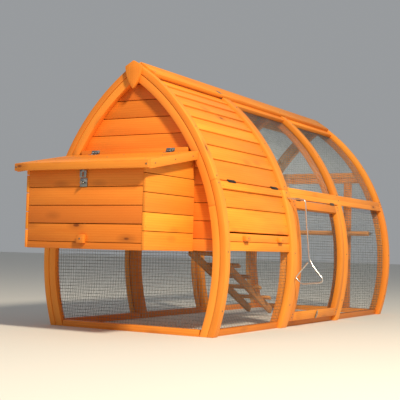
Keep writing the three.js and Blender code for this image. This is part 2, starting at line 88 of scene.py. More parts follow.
lens = bpy.data.cameras.new("camera")
lens.lens, lens.sensor_width = FOCAL_MM, 36
lens.clip_end = 60
camera = bpy.data.objects.new("camera", lens)
camera.matrix_world = Matrix.Translation(EYE) @ camera_axes(YAW, PITCH, ROLL).to_4x4()
bpy.context.scene.collection.objects.link(camera)
bpy.context.scene.camera = camera
print("camera distance to the sill:", round(EYE.length, 2), "m")

# %% [markdown]
# ## The arch
# Both sides of the coop follow one arc of the same radius, widest a third of the way up. Each
# arc is swung from a centre beyond the other side, so that the two meet at a point on top.
# Every rib, rail, board and wire takes its place from this arc.

# %% Arch
APEX_Z, BULGE_Z, BULGE_X = 1.280, 0.348, 0.519
ARCH_R = (BULGE_X**2 + (APEX_Z - BULGE_Z) ** 2) / (2 * BULGE_X)
ARCH_X = BULGE_X - ARCH_R
LENGTH, END_RIB = 2.248, 0.045
CAP_IN = ARCH_R - 0.030  # between a rib's outer and inner lamination
WEB_IN = ARCH_R - 0.070  # inner face of a rib
MIDDLE = (0.710, 0.785)  # middle rib, from the coop's front
INTER = (1.445, 1.505)  # intermediate rib
SILL_TOP, FLOOR_LOW, FLOOR_TOP = 0.030, 0.392, 0.434
RAIL_Z = (0.673, 0.730)


def back(distance):
    """Y of a distance from the coop's front face."""
    return distance - END_RIB / 2


def spot(x, distance, z):
    """Point at a distance back from the front of the coop."""
    return Vector((x, back(distance), z))


def at_z(z):
    return lambda r: math.asin((z - BULGE_Z) / r)


def at_x(x):
    return lambda r: math.acos((x - ARCH_X) / r)


def at_deg(degrees):
    return lambda r: math.radians(degrees)


def arch(r, angle, y, side=1):
    """Point on the arch at radius r, angle up its arc and distance y from the front."""
    return spot(side * (ARCH_X + r * math.cos(angle)), y, BULGE_Z + r * math.sin(angle))


def half_width(r, z):
    return arch(r, at_z(z)(r), 0).x


print("arch radius:", round(ARCH_R, 3), "m")

# %% [markdown]
# ## Timber as a maker cuts it
# Each plank is a loft: a few rings of corner points joined by faces and closed at both ends.
# Its sharp edges are planed off by a small bevel, because bare edges never catch the light.
# Every point also stores where it lies along, across and through the grain. The wood finish
# reads this, so the figure follows a bent rib as well as a straight board.

# %% Timber helpers
EASE = 0.0015  # eased edge of a planed board
SHARP = math.radians(32)
lot = random.Random(11)


def grain_x(p):
    return (p.x, p.z, p.y)


def grain_y(p):
    return (p.y, p.z, p.x)


def grain_z(p):
    return (p.z, p.x, p.y)


def grain_arch(p):
    out = Vector((abs(p.x) - ARCH_X, p.z - BULGE_Z))
    return (math.atan2(out.y, out.x) * ARCH_R, p.y, out.length)


def loft(rings, grain=grain_y, edge=EASE, steps=2):
    """One solid through rings of points, as (points, faces, grain positions, tone)."""
    bm = bmesh.new()
    made = [[bm.verts.new(point) for point in ring] for ring in rings]
    for low, high in zip(made, made[1:]):
        for i in range(len(low)):
            j = (i + 1) % len(low)
            bm.faces.new((low[i], low[j], high[j], high[i]))
    bm.faces.new(made[0][::-1])
    bm.faces.new(made[-1])
    bmesh.ops.recalc_face_normals(bm, faces=bm.faces)
    if edge:
        corners = [e for e in bm.edges if e.calc_face_angle(0) > SHARP]
        bmesh.ops.bevel(
            bm, geom=corners, offset=edge, offset_type="OFFSET", segments=steps,
            profile=0.5, affect="EDGES", clamp_overlap=True,
        )
    bm.verts.index_update()
    points = [vert.co.copy() for vert in bm.verts]
    faces = [[vert.index for vert in face.verts] for face in bm.faces]
    bm.free()
    shift = Vector([lot.uniform(0, 9) for _ in range(3)])
    return points, faces, [Vector(grain(p)) + shift for p in points], lot.uniform(-1, 1)


def band(r_in, r_out, start, end, y0, y1, side=1, edge=EASE):
    """Timber bent along the arch, with its grain along the bend."""
    run = max(abs(end(r_out) - start(r_out)), 1e-4)
    count = max(1, math.ceil(run / math.radians(1.4)))
    rings = []
    for i in range(count + 1):
        ring = []
        for r, y in ((r_in, y0), (r_out, y0), (r_out, y1), (r_in, y1)):
            angle = start(r) + (end(r) - start(r)) * i / count
            ring.append(arch(r, angle, y, side))
        rings.append(ring)
    return loft(rings, grain_arch, edge)


def across_grain(part):
    """The same part with its grain turned from round the arch to along the coop."""
    points, faces, grain, tone = part
    return points, faces, [Vector((g.y, g.x, g.z)) for g in grain], tone


def bar(x0, x1, y0, y1, z0, z1, grain=grain_x, edge=EASE):
    """Straight timber between two corners; y is the distance from the coop's front."""
    rings = []
    for x in (x0, x1):
        rings.append([spot(x, y, z) for y, z in ((y0, z0), (y1, z0), (y1, z1), (y0, z1))])
    return loft(rings, grain, edge)


def prism(outline, place, ends, grain, edge=EASE):
    """Solid with one outline at both ends; place(a, b, end) gives a point."""
    return loft([[place(a, b, end) for a, b in outline] for end in ends], grain, edge)


def in_xz(a, b, y):
    return spot(a, y, b)


def in_yz(a, b, x):
    return spot(x, a, b)


def wedge(r_in, r_out, low, high):
    """Corners of a plank between two radii and two angles, as (radius, degrees)."""
    return [(r_in, low), (r_out, low), (r_out, high), (r_in, high)]


def arch_plank(corners, y0, y1, side=1, edge=EASE):
    """Straight plank along the coop, from (radius, degrees) corners of its end."""
    return loft(
        [[arch(r, math.radians(d), y, side) for r, d in corners] for y in (y0, y1)], grain_y, edge
    )


print("eased edge:", EASE * 1000, "mm")

# %% [markdown]
# ## Finishes: shared tools
# One function turns an sRGB hex colour to the linear numbers that shaders work in, and one adds
# a node with its settings and links. Everything else is built from these two.

# %% Finish helpers


def colour(code):
    parts = [int(code[i : i + 2], 16) / 255 for i in (1, 3, 5)]
    linear = [c / 12.92 if c <= 0.04045 else ((c + 0.055) / 1.055) ** 2.4 for c in parts]
    return (*linear, 1.0)


def add_node(material, kind, inputs=None, **settings):
    """Adds a node; an input given as a socket is linked, and any other value is set."""
    tree = material.node_tree
    made = tree.nodes.new("ShaderNode" + kind)
    for name, value in settings.items():
        setattr(made, name, value)
    for name, value in (inputs or {}).items():
        if isinstance(value, bpy.types.NodeSocket):
            tree.links.new(value, made.inputs[name])
        else:
            made.inputs[name].default_value = value
    return made


def bare_material(name):
    material = bpy.data.materials.new(name)
    material.use_nodes = True
    material.node_tree.nodes.clear()
    return material


def surface(material, inputs):
    """Ends a material in one Principled shader with these inputs."""
    shader = add_node(material, "BsdfPrincipled", inputs)
    add_node(material, "OutputMaterial", {"Surface": shader.outputs["BSDF"]})
    return material


print("orange in linear light:", [round(c, 3) for c in colour("#F29A44")])

# %% [markdown]
# ## Stained softwood
# The coop is planed pine or spruce under an orange, thin-bodied wood stain. Pale early wood
# soaks up the stain and dark late wood stands out as lines drawn out along the board. Small
# knots stay dark, and some boards are ruddy heartwood. The stain leaves a low satin
# sheen, rougher where the fibres lift. Noise stretched along the stored grain gives the fibres,
# a distorted wave gives the rings, and a cell pattern gives a knot every few hundred millimetres.

# %% Stained softwood
RING_PITCH = 0.011  # late-wood lines, drawn a little coarse so that they show
FIBRE = (0.12, 0.0028)  # fibre streak, long and wide
KNOT_CELL = (0.24, 0.10)  # at most one knot in each stretch of this length and width
BLOTCHES_PER_M = (2.2, 16.0, 16.0)  # uneven uptake of the stain, along and across the board


def noise(material, place, scale, detail):
    return add_node(material, "TexNoise", {"Vector": place, "Scale": scale, "Detail": detail})


def math_node(material, operation, *values):
    """Output of one Math node on two or three values."""
    made = add_node(material, "Math", dict(enumerate(values)), operation=operation)
    return made.outputs[0]


def remap(material, value, from_min, from_max, to_min=0.0, to_max=1.0):
    """Value carried from one range to another, and held inside it."""
    limits = {"From Min": from_min, "From Max": from_max, "To Min": to_min, "To Max": to_max}
    return add_node(material, "MapRange", {"Value": value, **limits}).outputs[0]


def mix(material, share, first, second, blend="MIX"):
    inputs = {0: share, 6: first, 7: second}
    made = add_node(material, "Mix", inputs, data_type="RGBA", blend_type=blend)
    return made.outputs[2]


def stretched(material, place, scale):
    return add_node(material, "Mapping", {"Vector": place, "Scale": scale}).outputs[0]


def stained_softwood(name, early, late, ruddy, knot, sheen=0.5):
    wood = bare_material(name)
    grain = add_node(wood, "Attribute", attribute_name="grain").outputs["Vector"]
    tone = add_node(wood, "Attribute", attribute_name="tone").outputs["Fac"]
    fibre_at = stretched(wood, grain, (1 / FIBRE[0], 1 / FIBRE[1], 1 / FIBRE[1]))
    fibre = noise(wood, fibre_at, 1.0, 3.0).outputs["Fac"]
    ring_inputs = {
        "Vector": stretched(wood, grain, (0.09, 1.0, 1.0)),
        "Scale": 0.314 / RING_PITCH, "Distortion": 5.0, "Detail": 2.0, "Detail Scale": 0.55,
    }
    rings = add_node(
        wood, "TexWave", ring_inputs, wave_type="BANDS", bands_direction="Y", wave_profile="SIN"
    ).outputs["Fac"]
    blotch = noise(wood, stretched(wood, grain, BLOTCHES_PER_M), 1.0, 2.0).outputs["Fac"]
    figure = 0.0
    for layer, weight in ((rings, 0.16), (fibre, 0.30), (blotch, 0.80)):
        figure = math_node(wood, "MULTIPLY_ADD", layer, weight, figure)
    stained = mix(wood, remap(wood, figure, 0.36, 0.92), colour(early), colour(late))
    spin = math_node(wood, "FRACT", math_node(wood, "MULTIPLY", tone, 23.0))
    hued = mix(wood, remap(wood, spin, 0.35, 1.0, 0.0, 0.68), stained, colour(ruddy))
    toned = mix(wood, 1.0, hued, remap(wood, tone, -1.0, 1.0, 0.82, 1.08), "MULTIPLY")
    cell_at = stretched(wood, grain, (1 / KNOT_CELL[0], 1 / KNOT_CELL[1], 1 / KNOT_CELL[1]))
    cells = add_node(wood, "TexVoronoi", {"Vector": cell_at, "Scale": 1.0}, feature="F1")
    core = remap(wood, cells.outputs["Distance"], 0.05, 0.10, 1.0, 0.0)
    halo = remap(wood, cells.outputs["Distance"], 0.08, 0.26, 0.4, 0.0)
    lottery = add_node(wood, "SeparateColor", {"Color": cells.outputs["Color"]}).outputs[0]
    drawn = math_node(wood, "GREATER_THAN", lottery, 0.45)
    knots = math_node(wood, "MULTIPLY", math_node(wood, "MAXIMUM", core, halo), drawn)
    relief = add_node(wood, "Bump", {"Height": figure, "Strength": 0.35, "Distance": 0.0006})
    inputs = {
        "Base Color": mix(wood, knots, toned, colour(knot)),
        "Roughness": remap(wood, fibre, 0.0, 1.0, sheen - 0.07, sheen + 0.12),
        "Normal": relief.outputs[0],
        "Specular IOR Level": 0.32,
    }
    return surface(wood, inputs)


FRAME_WOOD = stained_softwood("stained_pine_frame", "#F8A23C", "#DE7E24", "#E07C2A", "#8A4A22")
BOARD_WOOD = stained_softwood("stained_pine_boards", "#F8A032", "#E47F20", "#F08A32", "#8A4A20")
# The boards facing the front (gable, nest front, nest floor and tray) get a darker, redder copy of
# the stain: painted shade, not a different wood.
PAINTED_SHADE_FRONT_WOOD = stained_softwood("stained_pine_front_painted_shade", "#F08E30", "#DA7219", "#E47628", "#80400F")
# The parts inside the house and behind the mesh (floor, partition, pop door, perches, ladder,
# divider) get a darker, duller copy of the stain: painted shade.
PAINTED_SHADE_INNER_WOOD = stained_softwood(
    "stained_pine_inside_painted_shade", "#DFA262", "#BE7C3E", "#C98450", "#5E3319", 0.62
)
print("softwood finishes: 4")

# %% [markdown]
# ## Metals
# The mesh and the pan are galvanised steel: dull grey zinc with a faint spangle. The lid's
# hinges, the hasp, the turn button and the perch's wing nuts are bright zinc plate, which is
# smoother. The pull rod's zinc is painted near white, a painted highlight. Screws and the run
# door's hinges have weathered to a brownish grey. The flap's two hinges are black japanned
# steel, a lacquer over metal, so they are not metallic at all.

# %% Metals


def zinc_coated(name, pale, dull, rough, spangle):
    zinc = bare_material(name)
    place = add_node(zinc, "TexCoord").outputs["Object"]
    grains = add_node(zinc, "TexVoronoi", {"Vector": place, "Scale": 1 / spangle}, feature="F1")
    patch = add_node(zinc, "SeparateColor", {"Color": grains.outputs["Color"]}).outputs[0]
    cloud = noise(zinc, place, 22.0, 3.0).outputs["Fac"]
    share = remap(zinc, math_node(zinc, "MULTIPLY_ADD", patch, 0.5, cloud), 0.3, 1.2)
    inputs = {
        "Base Color": mix(zinc, share, colour(pale), colour(dull)),
        "Metallic": 1.0,
        "Roughness": remap(zinc, share, 0.0, 1.0, rough - 0.06, rough + 0.1),
    }
    return surface(zinc, inputs)


def japanned_steel(name):
    black = bare_material(name)
    place = add_node(black, "TexCoord").outputs["Object"]
    peel = noise(black, place, 600.0, 2.0).outputs["Fac"]
    relief = add_node(black, "Bump", {"Height": peel, "Strength": 0.2, "Distance": 0.0004})
    inputs = {
        "Base Color": mix(black, peel, colour("#1D1A18"), colour("#2C2724")),
        "Roughness": 0.38,
        "Normal": relief.outputs[0],
        "Specular IOR Level": 0.32,
    }
    return surface(black, inputs)


MESH_WIRE = zinc_coated("galvanised_wire", "#8F9692", "#6D7471", 0.5, 0.02)
SHEET_ZINC = zinc_coated("galvanised_sheet", "#C3C7C7", "#9BA1A1", 0.4, 0.012)
BRIGHT_ZINC = zinc_coated("bright_zinc_plate", "#B4B5B3", "#8F908D", 0.28, 0.008)
# The pull rod's near-white zinc is a painted highlight, paler than the bright zinc plate.
PAINTED_HIGHLIGHT_ROD_ZINC = zinc_coated("rod_zinc_painted_highlight", "#E4E5E4", "#C9CAC9", 0.3, 0.008)
DULL_ZINC = zinc_coated("weathered_zinc_screws", "#96887A", "#6E6257", 0.5, 0.004)
BLACK_STEEL = japanned_steel("black_japanned_steel")
print("metal finishes: 6")

# %% [markdown]
# ## Putting a piece together
# A piece gathers several lofts in one mesh, each with its own random shift of the grain and its
# own tone, so that neighbouring boards never match. The piece then rides on its body of the
# frame and stands for the plain solids that it replaces.

# %% Piece builder


def piece(name, parts, material, body, replaced=()):
    points, faces, grains, tones = [], [], [], []
    for part_points, part_faces, part_grain, tone in parts:
        first = len(points)
        points += part_points
        faces += [[first + i for i in face] for face in part_faces]
        grains += part_grain
        tones += [tone] * len(part_points)
    mesh = bpy.data.meshes.new(name)
    mesh.from_pydata(points, [], faces)
    along = mesh.attributes.new("grain", "FLOAT_VECTOR", "POINT")
    along.data.foreach_set("vector", [c for g in grains for c in g])
    mesh.attributes.new("tone", "FLOAT", "POINT").data.foreach_set("value", tones)
    mesh.polygons.foreach_set("use_smooth", [True] * len(faces))
    mesh.set_sharp_from_angle(angle=SHARP)
    mesh.materials.append(material)
    made = bpy.data.objects.new(name, mesh)
    bpy.context.scene.collection.objects.link(made)
    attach(made, body)
    if replaced:
        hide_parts(*replaced)
    print(f"{name}: {len(parts)} parts, {len(faces)} faces")
    return made


SIDES = (("left", -1), ("right", 1))

# %% [markdown]
# ## Turned and bent metal
# Screws, barrels and rods are rings of points too. A turned part stacks circles along an axis;
# a rod carries one circle along a path of points.

# %% Metal helpers


def turned(centre, axis, profile, sides=16, edge=0.0):
    """Stacks circles, given as (height, radius), along an axis from a centre."""
    axis = axis.normalized()
    across = axis.orthogonal().normalized()
    other = axis.cross(across)
    rings = []
    for height, radius in profile:
        ring = []
        for i in range(sides):
            turn = 2 * math.pi * i / sides
            ring.append(
                centre + axis * height + (across * math.cos(turn) + other * math.sin(turn)) * radius
            )
        rings.append(ring)
    return loft(rings, grain_z, edge)


def rod(path, radius, sides=10):
    """Round wire along a path that stays in one plane."""
    rings = []
    flat = (path[1] - path[0]).cross(path[len(path) // 2] - path[0])
    if flat.length < 1e-9:
        flat = (path[1] - path[0]).orthogonal()
    flat.normalize()
    for i, point in enumerate(path):
        ahead = (path[min(i + 1, len(path) - 1)] - path[max(i - 1, 0)]).normalized()
        across = ahead.cross(flat)
        turns = [2 * math.pi * k / sides for k in range(sides)]
        rings.append([point + (across * math.cos(t) + flat * math.sin(t)) * radius for t in turns])
    return loft(rings, grain_z, 0.0)


def barrel(start, axis, length, radius, ease=0.0004, sides=16):
    """Round bar whose two ends are eased."""
    profile = ((0, radius - ease), (ease, radius), (length - ease, radius), (length, radius - ease))
    return turned(start, axis, profile, sides)


def screw(centre, normal, radius=0.0042):
    """Countersunk head: a shallow dome with a driver's recess sunk in it."""
    profile = (
        (-0.004, radius * 0.5), (0, radius), (0.0006, radius * 0.9), (0.0009, radius * 0.42),
        (-0.0008, radius * 0.3),
    )
    return turned(centre, normal, profile, 12)


def arch_normal(degrees, side=1):
    angle = math.radians(degrees)
    return Vector((side * math.cos(angle), 0, math.sin(angle)))


RIGHT, REARWARD, FORWARD = Vector((1, 0, 0)), Vector((0, 1, 0)), Vector((0, -1, 0))
KNUCKLE_GAP = 0.0006  # daylight between two knuckles of a hinge
screws = {body: [] for body in frame["bodies"]}


def fix(body, centre, normal, radius=0.0042):
    """Notes one screw head, to be made with the others of its body."""
    screws[body].append(screw(centre, normal, radius))


# %% [markdown]
# ## Sills
# Four plain battens lie on the ground and keep the feet of the arches apart. Most of their
# height is in the grass, so only a straight sawn batten is needed.

# %% Sills
SILL_END = 0.387
for name, y0 in (("front_sill", 0.0), ("rear_sill", LENGTH - END_RIB)):
    batten = bar(-SILL_END, SILL_END, y0, y0 + END_RIB, 0, SILL_TOP)
    piece(f"{name}_batten", [batten], FRAME_WOOD, "frame", [name])
for name, side in SIDES:
    outline = [
        arch(r, at_z(z)(r), 0, side) for r, z in
        (
            (ARCH_R - 0.058, 0), (ARCH_R - 0.020, 0), (ARCH_R - 0.020, SILL_TOP),
            (ARCH_R - 0.058, SILL_TOP),
        )
    ]
    runs = [[spot(p.x, y, p.z) for p in outline] for y in (END_RIB + 0.002, LENGTH - END_RIB)]
    piece(
        f"side_sill_{name}_batten", [loft(runs, grain_y)], FRAME_WOOD, "frame",
        [f"side_sill_{name}"],
    )

# %% [markdown]
# ## Arches
# Each half arch is two thicknesses of bent timber, a wide outer one that shows as a light band
# and a narrower inner one that carries the boards or the mesh. Both are made in two lengths
# that butt together, and their eased edges leave a fine dark line wherever they meet. A bent
# band keeps the grain running round the curve, which a shape cut from flat board would not.

# %% Arches
LAM_EASE = 0.0028
SEAM = 0.0012  # glue line that has opened between the two thicknesses
CAP_JOINT, WEB_JOINT = 19.55, 13.5  # degrees up the arch, where the lengths butt
RIDGE_EDGE = 52.6


def half_arch(side, cap_y, web_y, cap_top):
    foot, apex = at_z(0), at_x(0.0002)
    return [
        band(CAP_IN, ARCH_R, foot, at_deg(CAP_JOINT), *cap_y, side, LAM_EASE),
        band(CAP_IN, ARCH_R, at_deg(CAP_JOINT), cap_top, *cap_y, side, LAM_EASE),
        band(WEB_IN, CAP_IN - SEAM, foot, at_deg(WEB_JOINT), *web_y, side, LAM_EASE),
        band(WEB_IN, CAP_IN - SEAM, at_deg(WEB_JOINT), apex, *web_y, side, LAM_EASE),
    ]


under_ridge = at_deg(RIDGE_EDGE - 0.2)
DOOR_STOPS = {
    "middle_rib_right": (MIDDLE[1] - 0.006, MIDDLE[1] + 0.012),
    "intermediate_rib_right": (INTER[0] - 0.012, INTER[0] + 0.006),
}
bent = {}
for name, side in SIDES:
    ribs = {
        f"front_rib_{name}": ((0, END_RIB), (0.002, 0.034), at_x(0.0002)),
        f"middle_rib_{name}": (MIDDLE, (MIDDLE[0] + 0.005, MIDDLE[1] - 0.005), under_ridge),
        f"intermediate_rib_{name}": (INTER, (INTER[0] + 0.005, INTER[1] - 0.005), under_ridge),
        f"rear_rib_{name}": (
            (LENGTH - END_RIB, LENGTH), (LENGTH - END_RIB, LENGTH - 0.002), at_x(0.0002)
        ),
    }
    for rib, (cap_y, web_y, top) in ribs.items():
        laminations = half_arch(side, cap_y, web_y, top)
        if rib in DOOR_STOPS:
            stop = band(
                CAP_IN - 0.012, CAP_IN - 0.0002, at_z(SILL_TOP + 0.001), at_deg(16.9),
                *DOOR_STOPS[rib],
            )
            laminations.append(stop)
        bent[rib] = piece(f"{rib}_laminations", laminations, FRAME_WOOD, "frame", [rib])
        for degrees in (CAP_JOINT - 0.9, CAP_JOINT + 0.9, -12, 2, 34, 48):
            middle = sum(cap_y) / 2
            at = arch(ARCH_R + 0.0002, math.radians(degrees), middle, side)
            fix("frame", at, arch_normal(degrees, side))

# %% [markdown]
# The pull rod of the pop door leaves the coop through the right-hand middle rib. A drilled hole
# shows as a dark ring round the bright rod, so it is really cut, with a Boolean that is applied
# at once.

# %% Rod hole
ROD_Y, ROD_Z, ROD_R = sum(MIDDLE) / 2, 0.670, 0.0035
HOLE_R = 0.0065


def drill(target, centre, radius, depth):
    points, faces, _, _ = turned(
        centre - Vector((depth / 2, 0, 0)), RIGHT, ((0, radius), (depth, radius)), 24
    )
    mesh = bpy.data.meshes.new("drill")
    mesh.from_pydata(points, [], faces)
    bit = bpy.data.objects.new("drill", mesh)
    bpy.context.scene.collection.objects.link(bit)
    hole = target.modifiers.new("hole", "BOOLEAN")
    hole.operation, hole.solver, hole.object = "DIFFERENCE", "EXACT", bit
    bpy.context.view_layer.objects.active = target
    bpy.ops.object.modifier_apply(modifier=hole.name)
    bpy.data.objects.remove(bit)


drill(bent["middle_rib_right"], spot(0.43, ROD_Y, ROD_Z), HOLE_R, 0.2)
for step in range(3):  # the slot that the wire has been given to swing in
    notch = spot(0.478, ROD_Y + 0.010 + 0.008 * step, ROD_Z - 0.005 - 0.006 * step)
    drill(bent["middle_rib_right"], notch, HOLE_R, 0.05)
print("rod hole:", round(2000 * HOLE_R), "mm across")

# %% [markdown]
# ## Waist rail and ridge
# Two thin strips, one above the other, make the waist rail that the run door hangs from. The
# ridge cap is two planks that meet on the apex and run from the front arch to the rear one,
# with a batten under each lower edge where the roof mesh ends. A small zinc plate mends a
# split in the right-hand plank.

# %% Rail and ridge
RAIL_SEAM = 0.7025
for name, side in SIDES:
    strips = [
        across_grain(
            band(CAP_IN, ARCH_R, at_z(low), at_z(high), MIDDLE[1], LENGTH - END_RIB, side, 0.001)
        )
        for low, high in ((RAIL_Z[0], RAIL_SEAM), (RAIL_SEAM, RAIL_Z[1]))
    ]
    piece(f"waist_rail_{name}_strips", strips, FRAME_WOOD, "frame", [f"waist_rail_{name}"])

low_edge = arch(ARCH_R, math.radians(RIDGE_EDGE), 0)
slope = Vector((0, APEX_Z)) - Vector((low_edge.x, low_edge.z))
ridge_out = Vector((-slope.y, slope.x)).normalized() * -1
ridge_out = Vector((abs(ridge_out.x), abs(ridge_out.y)))
ABOVE, BELOW = 0.010, 0.008
planks = []
for side in (1, -1):
    outline = [
        (0.0004 * side, APEX_Z + ABOVE / ridge_out.y),
        (side * (low_edge.x + ABOVE * ridge_out.x), low_edge.z + ABOVE * ridge_out.y),
        (side * (low_edge.x - BELOW * ridge_out.x), low_edge.z - BELOW * ridge_out.y),
        (0.0004 * side, APEX_Z - BELOW / ridge_out.y),
    ]
    planks.append(
        prism(outline, in_xz, (END_RIB + 0.0005, LENGTH - END_RIB - 0.0003), grain_y, 0.0022)
    )
    for bay in ((MIDDLE[1], INTER[0]), (INTER[1], LENGTH - END_RIB - 0.0003)):
        batten = band(
            CAP_IN + 0.0003, ARCH_R - BELOW - 0.001, at_deg(50.5), at_deg(53.4), *bay, side
        )
        planks.append(across_grain(batten))
    for y in (MIDDLE[0] + 0.037, INTER[0] + 0.03, LENGTH - 0.07, 0.07):
        near = spot(side * low_edge.x * 0.72, y, low_edge.z + slope.y * 0.28)
        face = Vector((side * ridge_out.x, 0, ridge_out.y))
        fix("frame", near + face * (ABOVE + 0.0002), face)
piece("ridge_cap_planks", planks, BOARD_WOOD, "frame", ["ridge_cap"])

face = Vector((ridge_out.x, 0, ridge_out.y))
down = Vector((low_edge.x, 0, low_edge.z - APEX_Z)).normalized()
PLATE = (0.684, 0.710, 0.0012)  # front, rear, thickness
plate_rings = []
for lift in (ABOVE, ABOVE + PLATE[2]):
    corners = ((0.066, PLATE[0]), (0.096, PLATE[0]), (0.096, PLATE[1]), (0.066, PLATE[1]))
    plate_rings.append([spot(0, y, APEX_Z) + down * s + face * (lift + 0.0001) for s, y in corners])
piece("mending_plate", [loft(plate_rings, grain_y, 0.0005)], BRIGHT_ZINC, "frame")

# %% [markdown]
# ## Finial
# A shield of board covers the point where the front arches meet.

# %% Finial
SHIELD = {"half": 0.046, "top": 1.288, "shoulder": 1.262, "tip": 1.150}


def shield_outline(count=12):
    """Tip, right side, top and left side of the shield, in X and Z."""
    tip, shoulder = Vector((0, SHIELD["tip"])), Vector((SHIELD["half"], SHIELD["shoulder"]))
    bend = Vector((SHIELD["half"] * 0.95, SHIELD["tip"] + 0.052))
    right = []
    for i in range(count + 1):
        t = i / count
        right.append(tip * (1 - t) ** 2 + bend * 2 * t * (1 - t) + shoulder * t**2)
    left = [Vector((-p.x, p.y)) for p in reversed(right[1:])]
    return [(p.x, p.y) for p in right + [Vector((0, SHIELD["top"]))] + left]


shield = prism(shield_outline(), in_xz, (-0.0183, -0.0003), grain_z, 0.003)
piece("finial_shield", [shield], BOARD_WOOD, "frame", ["finial"])

# %% [markdown]
# ## Lapped boards
# The house is clad like a boat. Each straight board is laid along the coop, tilted to the
# curve, with its lower edge standing 7 mm proud of the board below. That lip throws the dark
# line that reads as boarding, so it is made in the mesh and not only drawn in the finish.

# %% Lapped boards
LAP_OUT, LAP_IN, BOARD_BACK = ARCH_R - 0.010, ARCH_R - 0.017, ARCH_R - 0.027
UPPER_LAPS = [25.4, 29.6, 34, 38.2, 42.2, 46, 49.6, 53.2, 57]
LOWER_LAPS = [2.4, 6.9, 12.9, 17.5, 21.2]
BOARD_Y = (END_RIB + 0.002, MIDDLE[0] - 0.0005)
FLAP_TOP, FLAP_LOW, TRAY_LOW = 19.7, 6.9, 4.6


def lapped_boards(laps, side, body="frame", ends=BOARD_Y, proud=None):
    boards = []
    for i, (low, high) in enumerate(zip(laps, laps[1:])):
        outer = (proud, proud) if proud and i == len(laps) - 2 else (LAP_OUT, LAP_IN)
        gap = 0.05
        corners = [
            (outer[0], low + gap), (outer[1], high), (BOARD_BACK, high), (BOARD_BACK, low + gap)
        ]
        boards.append(arch_plank(corners, *ends, side))
        middle = low + (high - low) * 0.4
        out = outer[0] + (outer[1] - outer[0]) * 0.4
        for y in (ends[0] + 0.022, ends[1] - 0.022):
            fix(
                body, arch(out + 0.0006, math.radians(middle), y, side), arch_normal(middle, side),
                0.0022,
            )
    return boards


piece(
    "roof_boards_right_lapped", lapped_boards([FLAP_TOP + 0.1, *UPPER_LAPS], 1), BOARD_WOOD,
    "frame", ["roof_boards_right"],
)
piece(
    "roof_boards_left_lapped", lapped_boards([*LOWER_LAPS, *UPPER_LAPS], -1), BOARD_WOOD, "frame",
    ["roof_boards_left"],
)

EDGE_IN, EDGE_OUT = ARCH_R - 0.038, ARCH_R - 0.012
edge_rail = arch_plank(
    wedge(EDGE_IN, EDGE_OUT, 2.32, TRAY_LOW - 0.12), *BOARD_Y
)
piece("house_edge_rail_timber", [edge_rail], BOARD_WOOD, "frame", ["house_edge_rail_right"])

# %% [markdown]
# ## Side flap
# The flap is three of the same boards on two hidden battens, and it lifts from its lower edge.
# A plain strip along its top stands proud, with the hinges screwed to it.

# %% Side flap
FLAP_Y = (BOARD_Y[0] + 0.001, BOARD_Y[1] - 0.001)
flap = lapped_boards([FLAP_LOW, 12.9, 17.5, FLAP_TOP - 0.2], 1, "side_flap", FLAP_Y, ARCH_R - 0.006)
for y in (0.115, 0.600):
    corners = wedge(BOARD_BACK - 0.014, BOARD_BACK, 8.4, 18.6)
    flap.append(arch_plank(corners, y, y + 0.040))
piece("side_flap_boards", flap, BOARD_WOOD, "side_flap", ["side_flap"])

# %% [markdown]
# ## Butt hinges
# A butt hinge is two leaves that curl round one pin in turns. The knuckles are short cylinders
# with small gaps between them, one leaf is on the fixed board and one on the moving piece.

# %% Butt hinges
LEAF_T = 0.0016  # sheet that the leaves of these hinges are cut from


def arch_hinge(name, node, axis_r, axis_deg, leaf_deg, y0, y1, metal, moving, leaf_out, leaf_in):
    """Hinge on the arch; its upper leaf is fixed and its lower leaf moves."""
    centre = arch(axis_r, math.radians(axis_deg), y0)
    span = (y1 - y0) / 5
    fixed, loose = [], []
    for i in range(5):
        start = centre + Vector((0, i * span + 0.0003, 0))
        knuckle = barrel(start, REARWARD, span - KNUCKLE_GAP, 0.0023)
        (fixed if i % 2 == 0 else loose).append(knuckle)
    pin = barrel(centre - Vector((0, 0.0012, 0)), REARWARD, y1 - y0 + 0.0024, 0.0016, 0.0008, 12)
    fixed.append(pin)
    fixed.append(
        arch_plank(
            wedge(leaf_out, leaf_out + LEAF_T, axis_deg + 0.1, axis_deg + leaf_deg),
            y0, y1, 1, 0.0003,
        )
    )
    loose.append(
        arch_plank(
            wedge(leaf_in, leaf_in + LEAF_T, axis_deg - leaf_deg, axis_deg - 0.1),
            y0, y1, 1, 0.0003,
        )
    )
    middle = 0.1 + (leaf_deg - 0.1) * 0.6
    for parts, out, degrees in (
        (fixed, leaf_out, axis_deg + middle), (loose, leaf_in, axis_deg - middle)
    ):
        for y in (y0 + span * 0.7, y1 - span * 0.7):
            parts.append(
                screw(arch(out + LEAF_T, math.radians(degrees), y), arch_normal(degrees), 0.0016)
            )
    piece(f"{name}_fixed_leaf", fixed, metal, "frame", [node])
    piece(f"{name}_moving_leaf", loose, metal, moving)


for name, y0, y1 in (("front", 0.130, 0.205), ("rear", 0.590, 0.665)):
    node = f"flap_hinge_{name}"
    arch_hinge(
        node + "_butt", node, ARCH_R - 0.005, FLAP_TOP, 0.42, y0, y1, BLACK_STEEL, "side_flap",
        LAP_OUT + 0.0003, ARCH_R - 0.0058,
    )
for name, y0, y1 in (("front", 0.850, 0.905), ("rear", 1.325, 1.380)):
    node = f"run_door_hinge_{name}"
    arch_hinge(
        node + "_butt", node, ARCH_R + 0.0025, 17.15, 0.4, y0, y1, DULL_ZINC, "run_door",
        ARCH_R + 0.0003, ARCH_R + 0.0002,
    )

# %% [markdown]
# ## Droppings tray
# A folded zinc pan slides under the perch and comes out to the right. Its timber front fills
# the slot below the flap and carries two small wooden pulls.

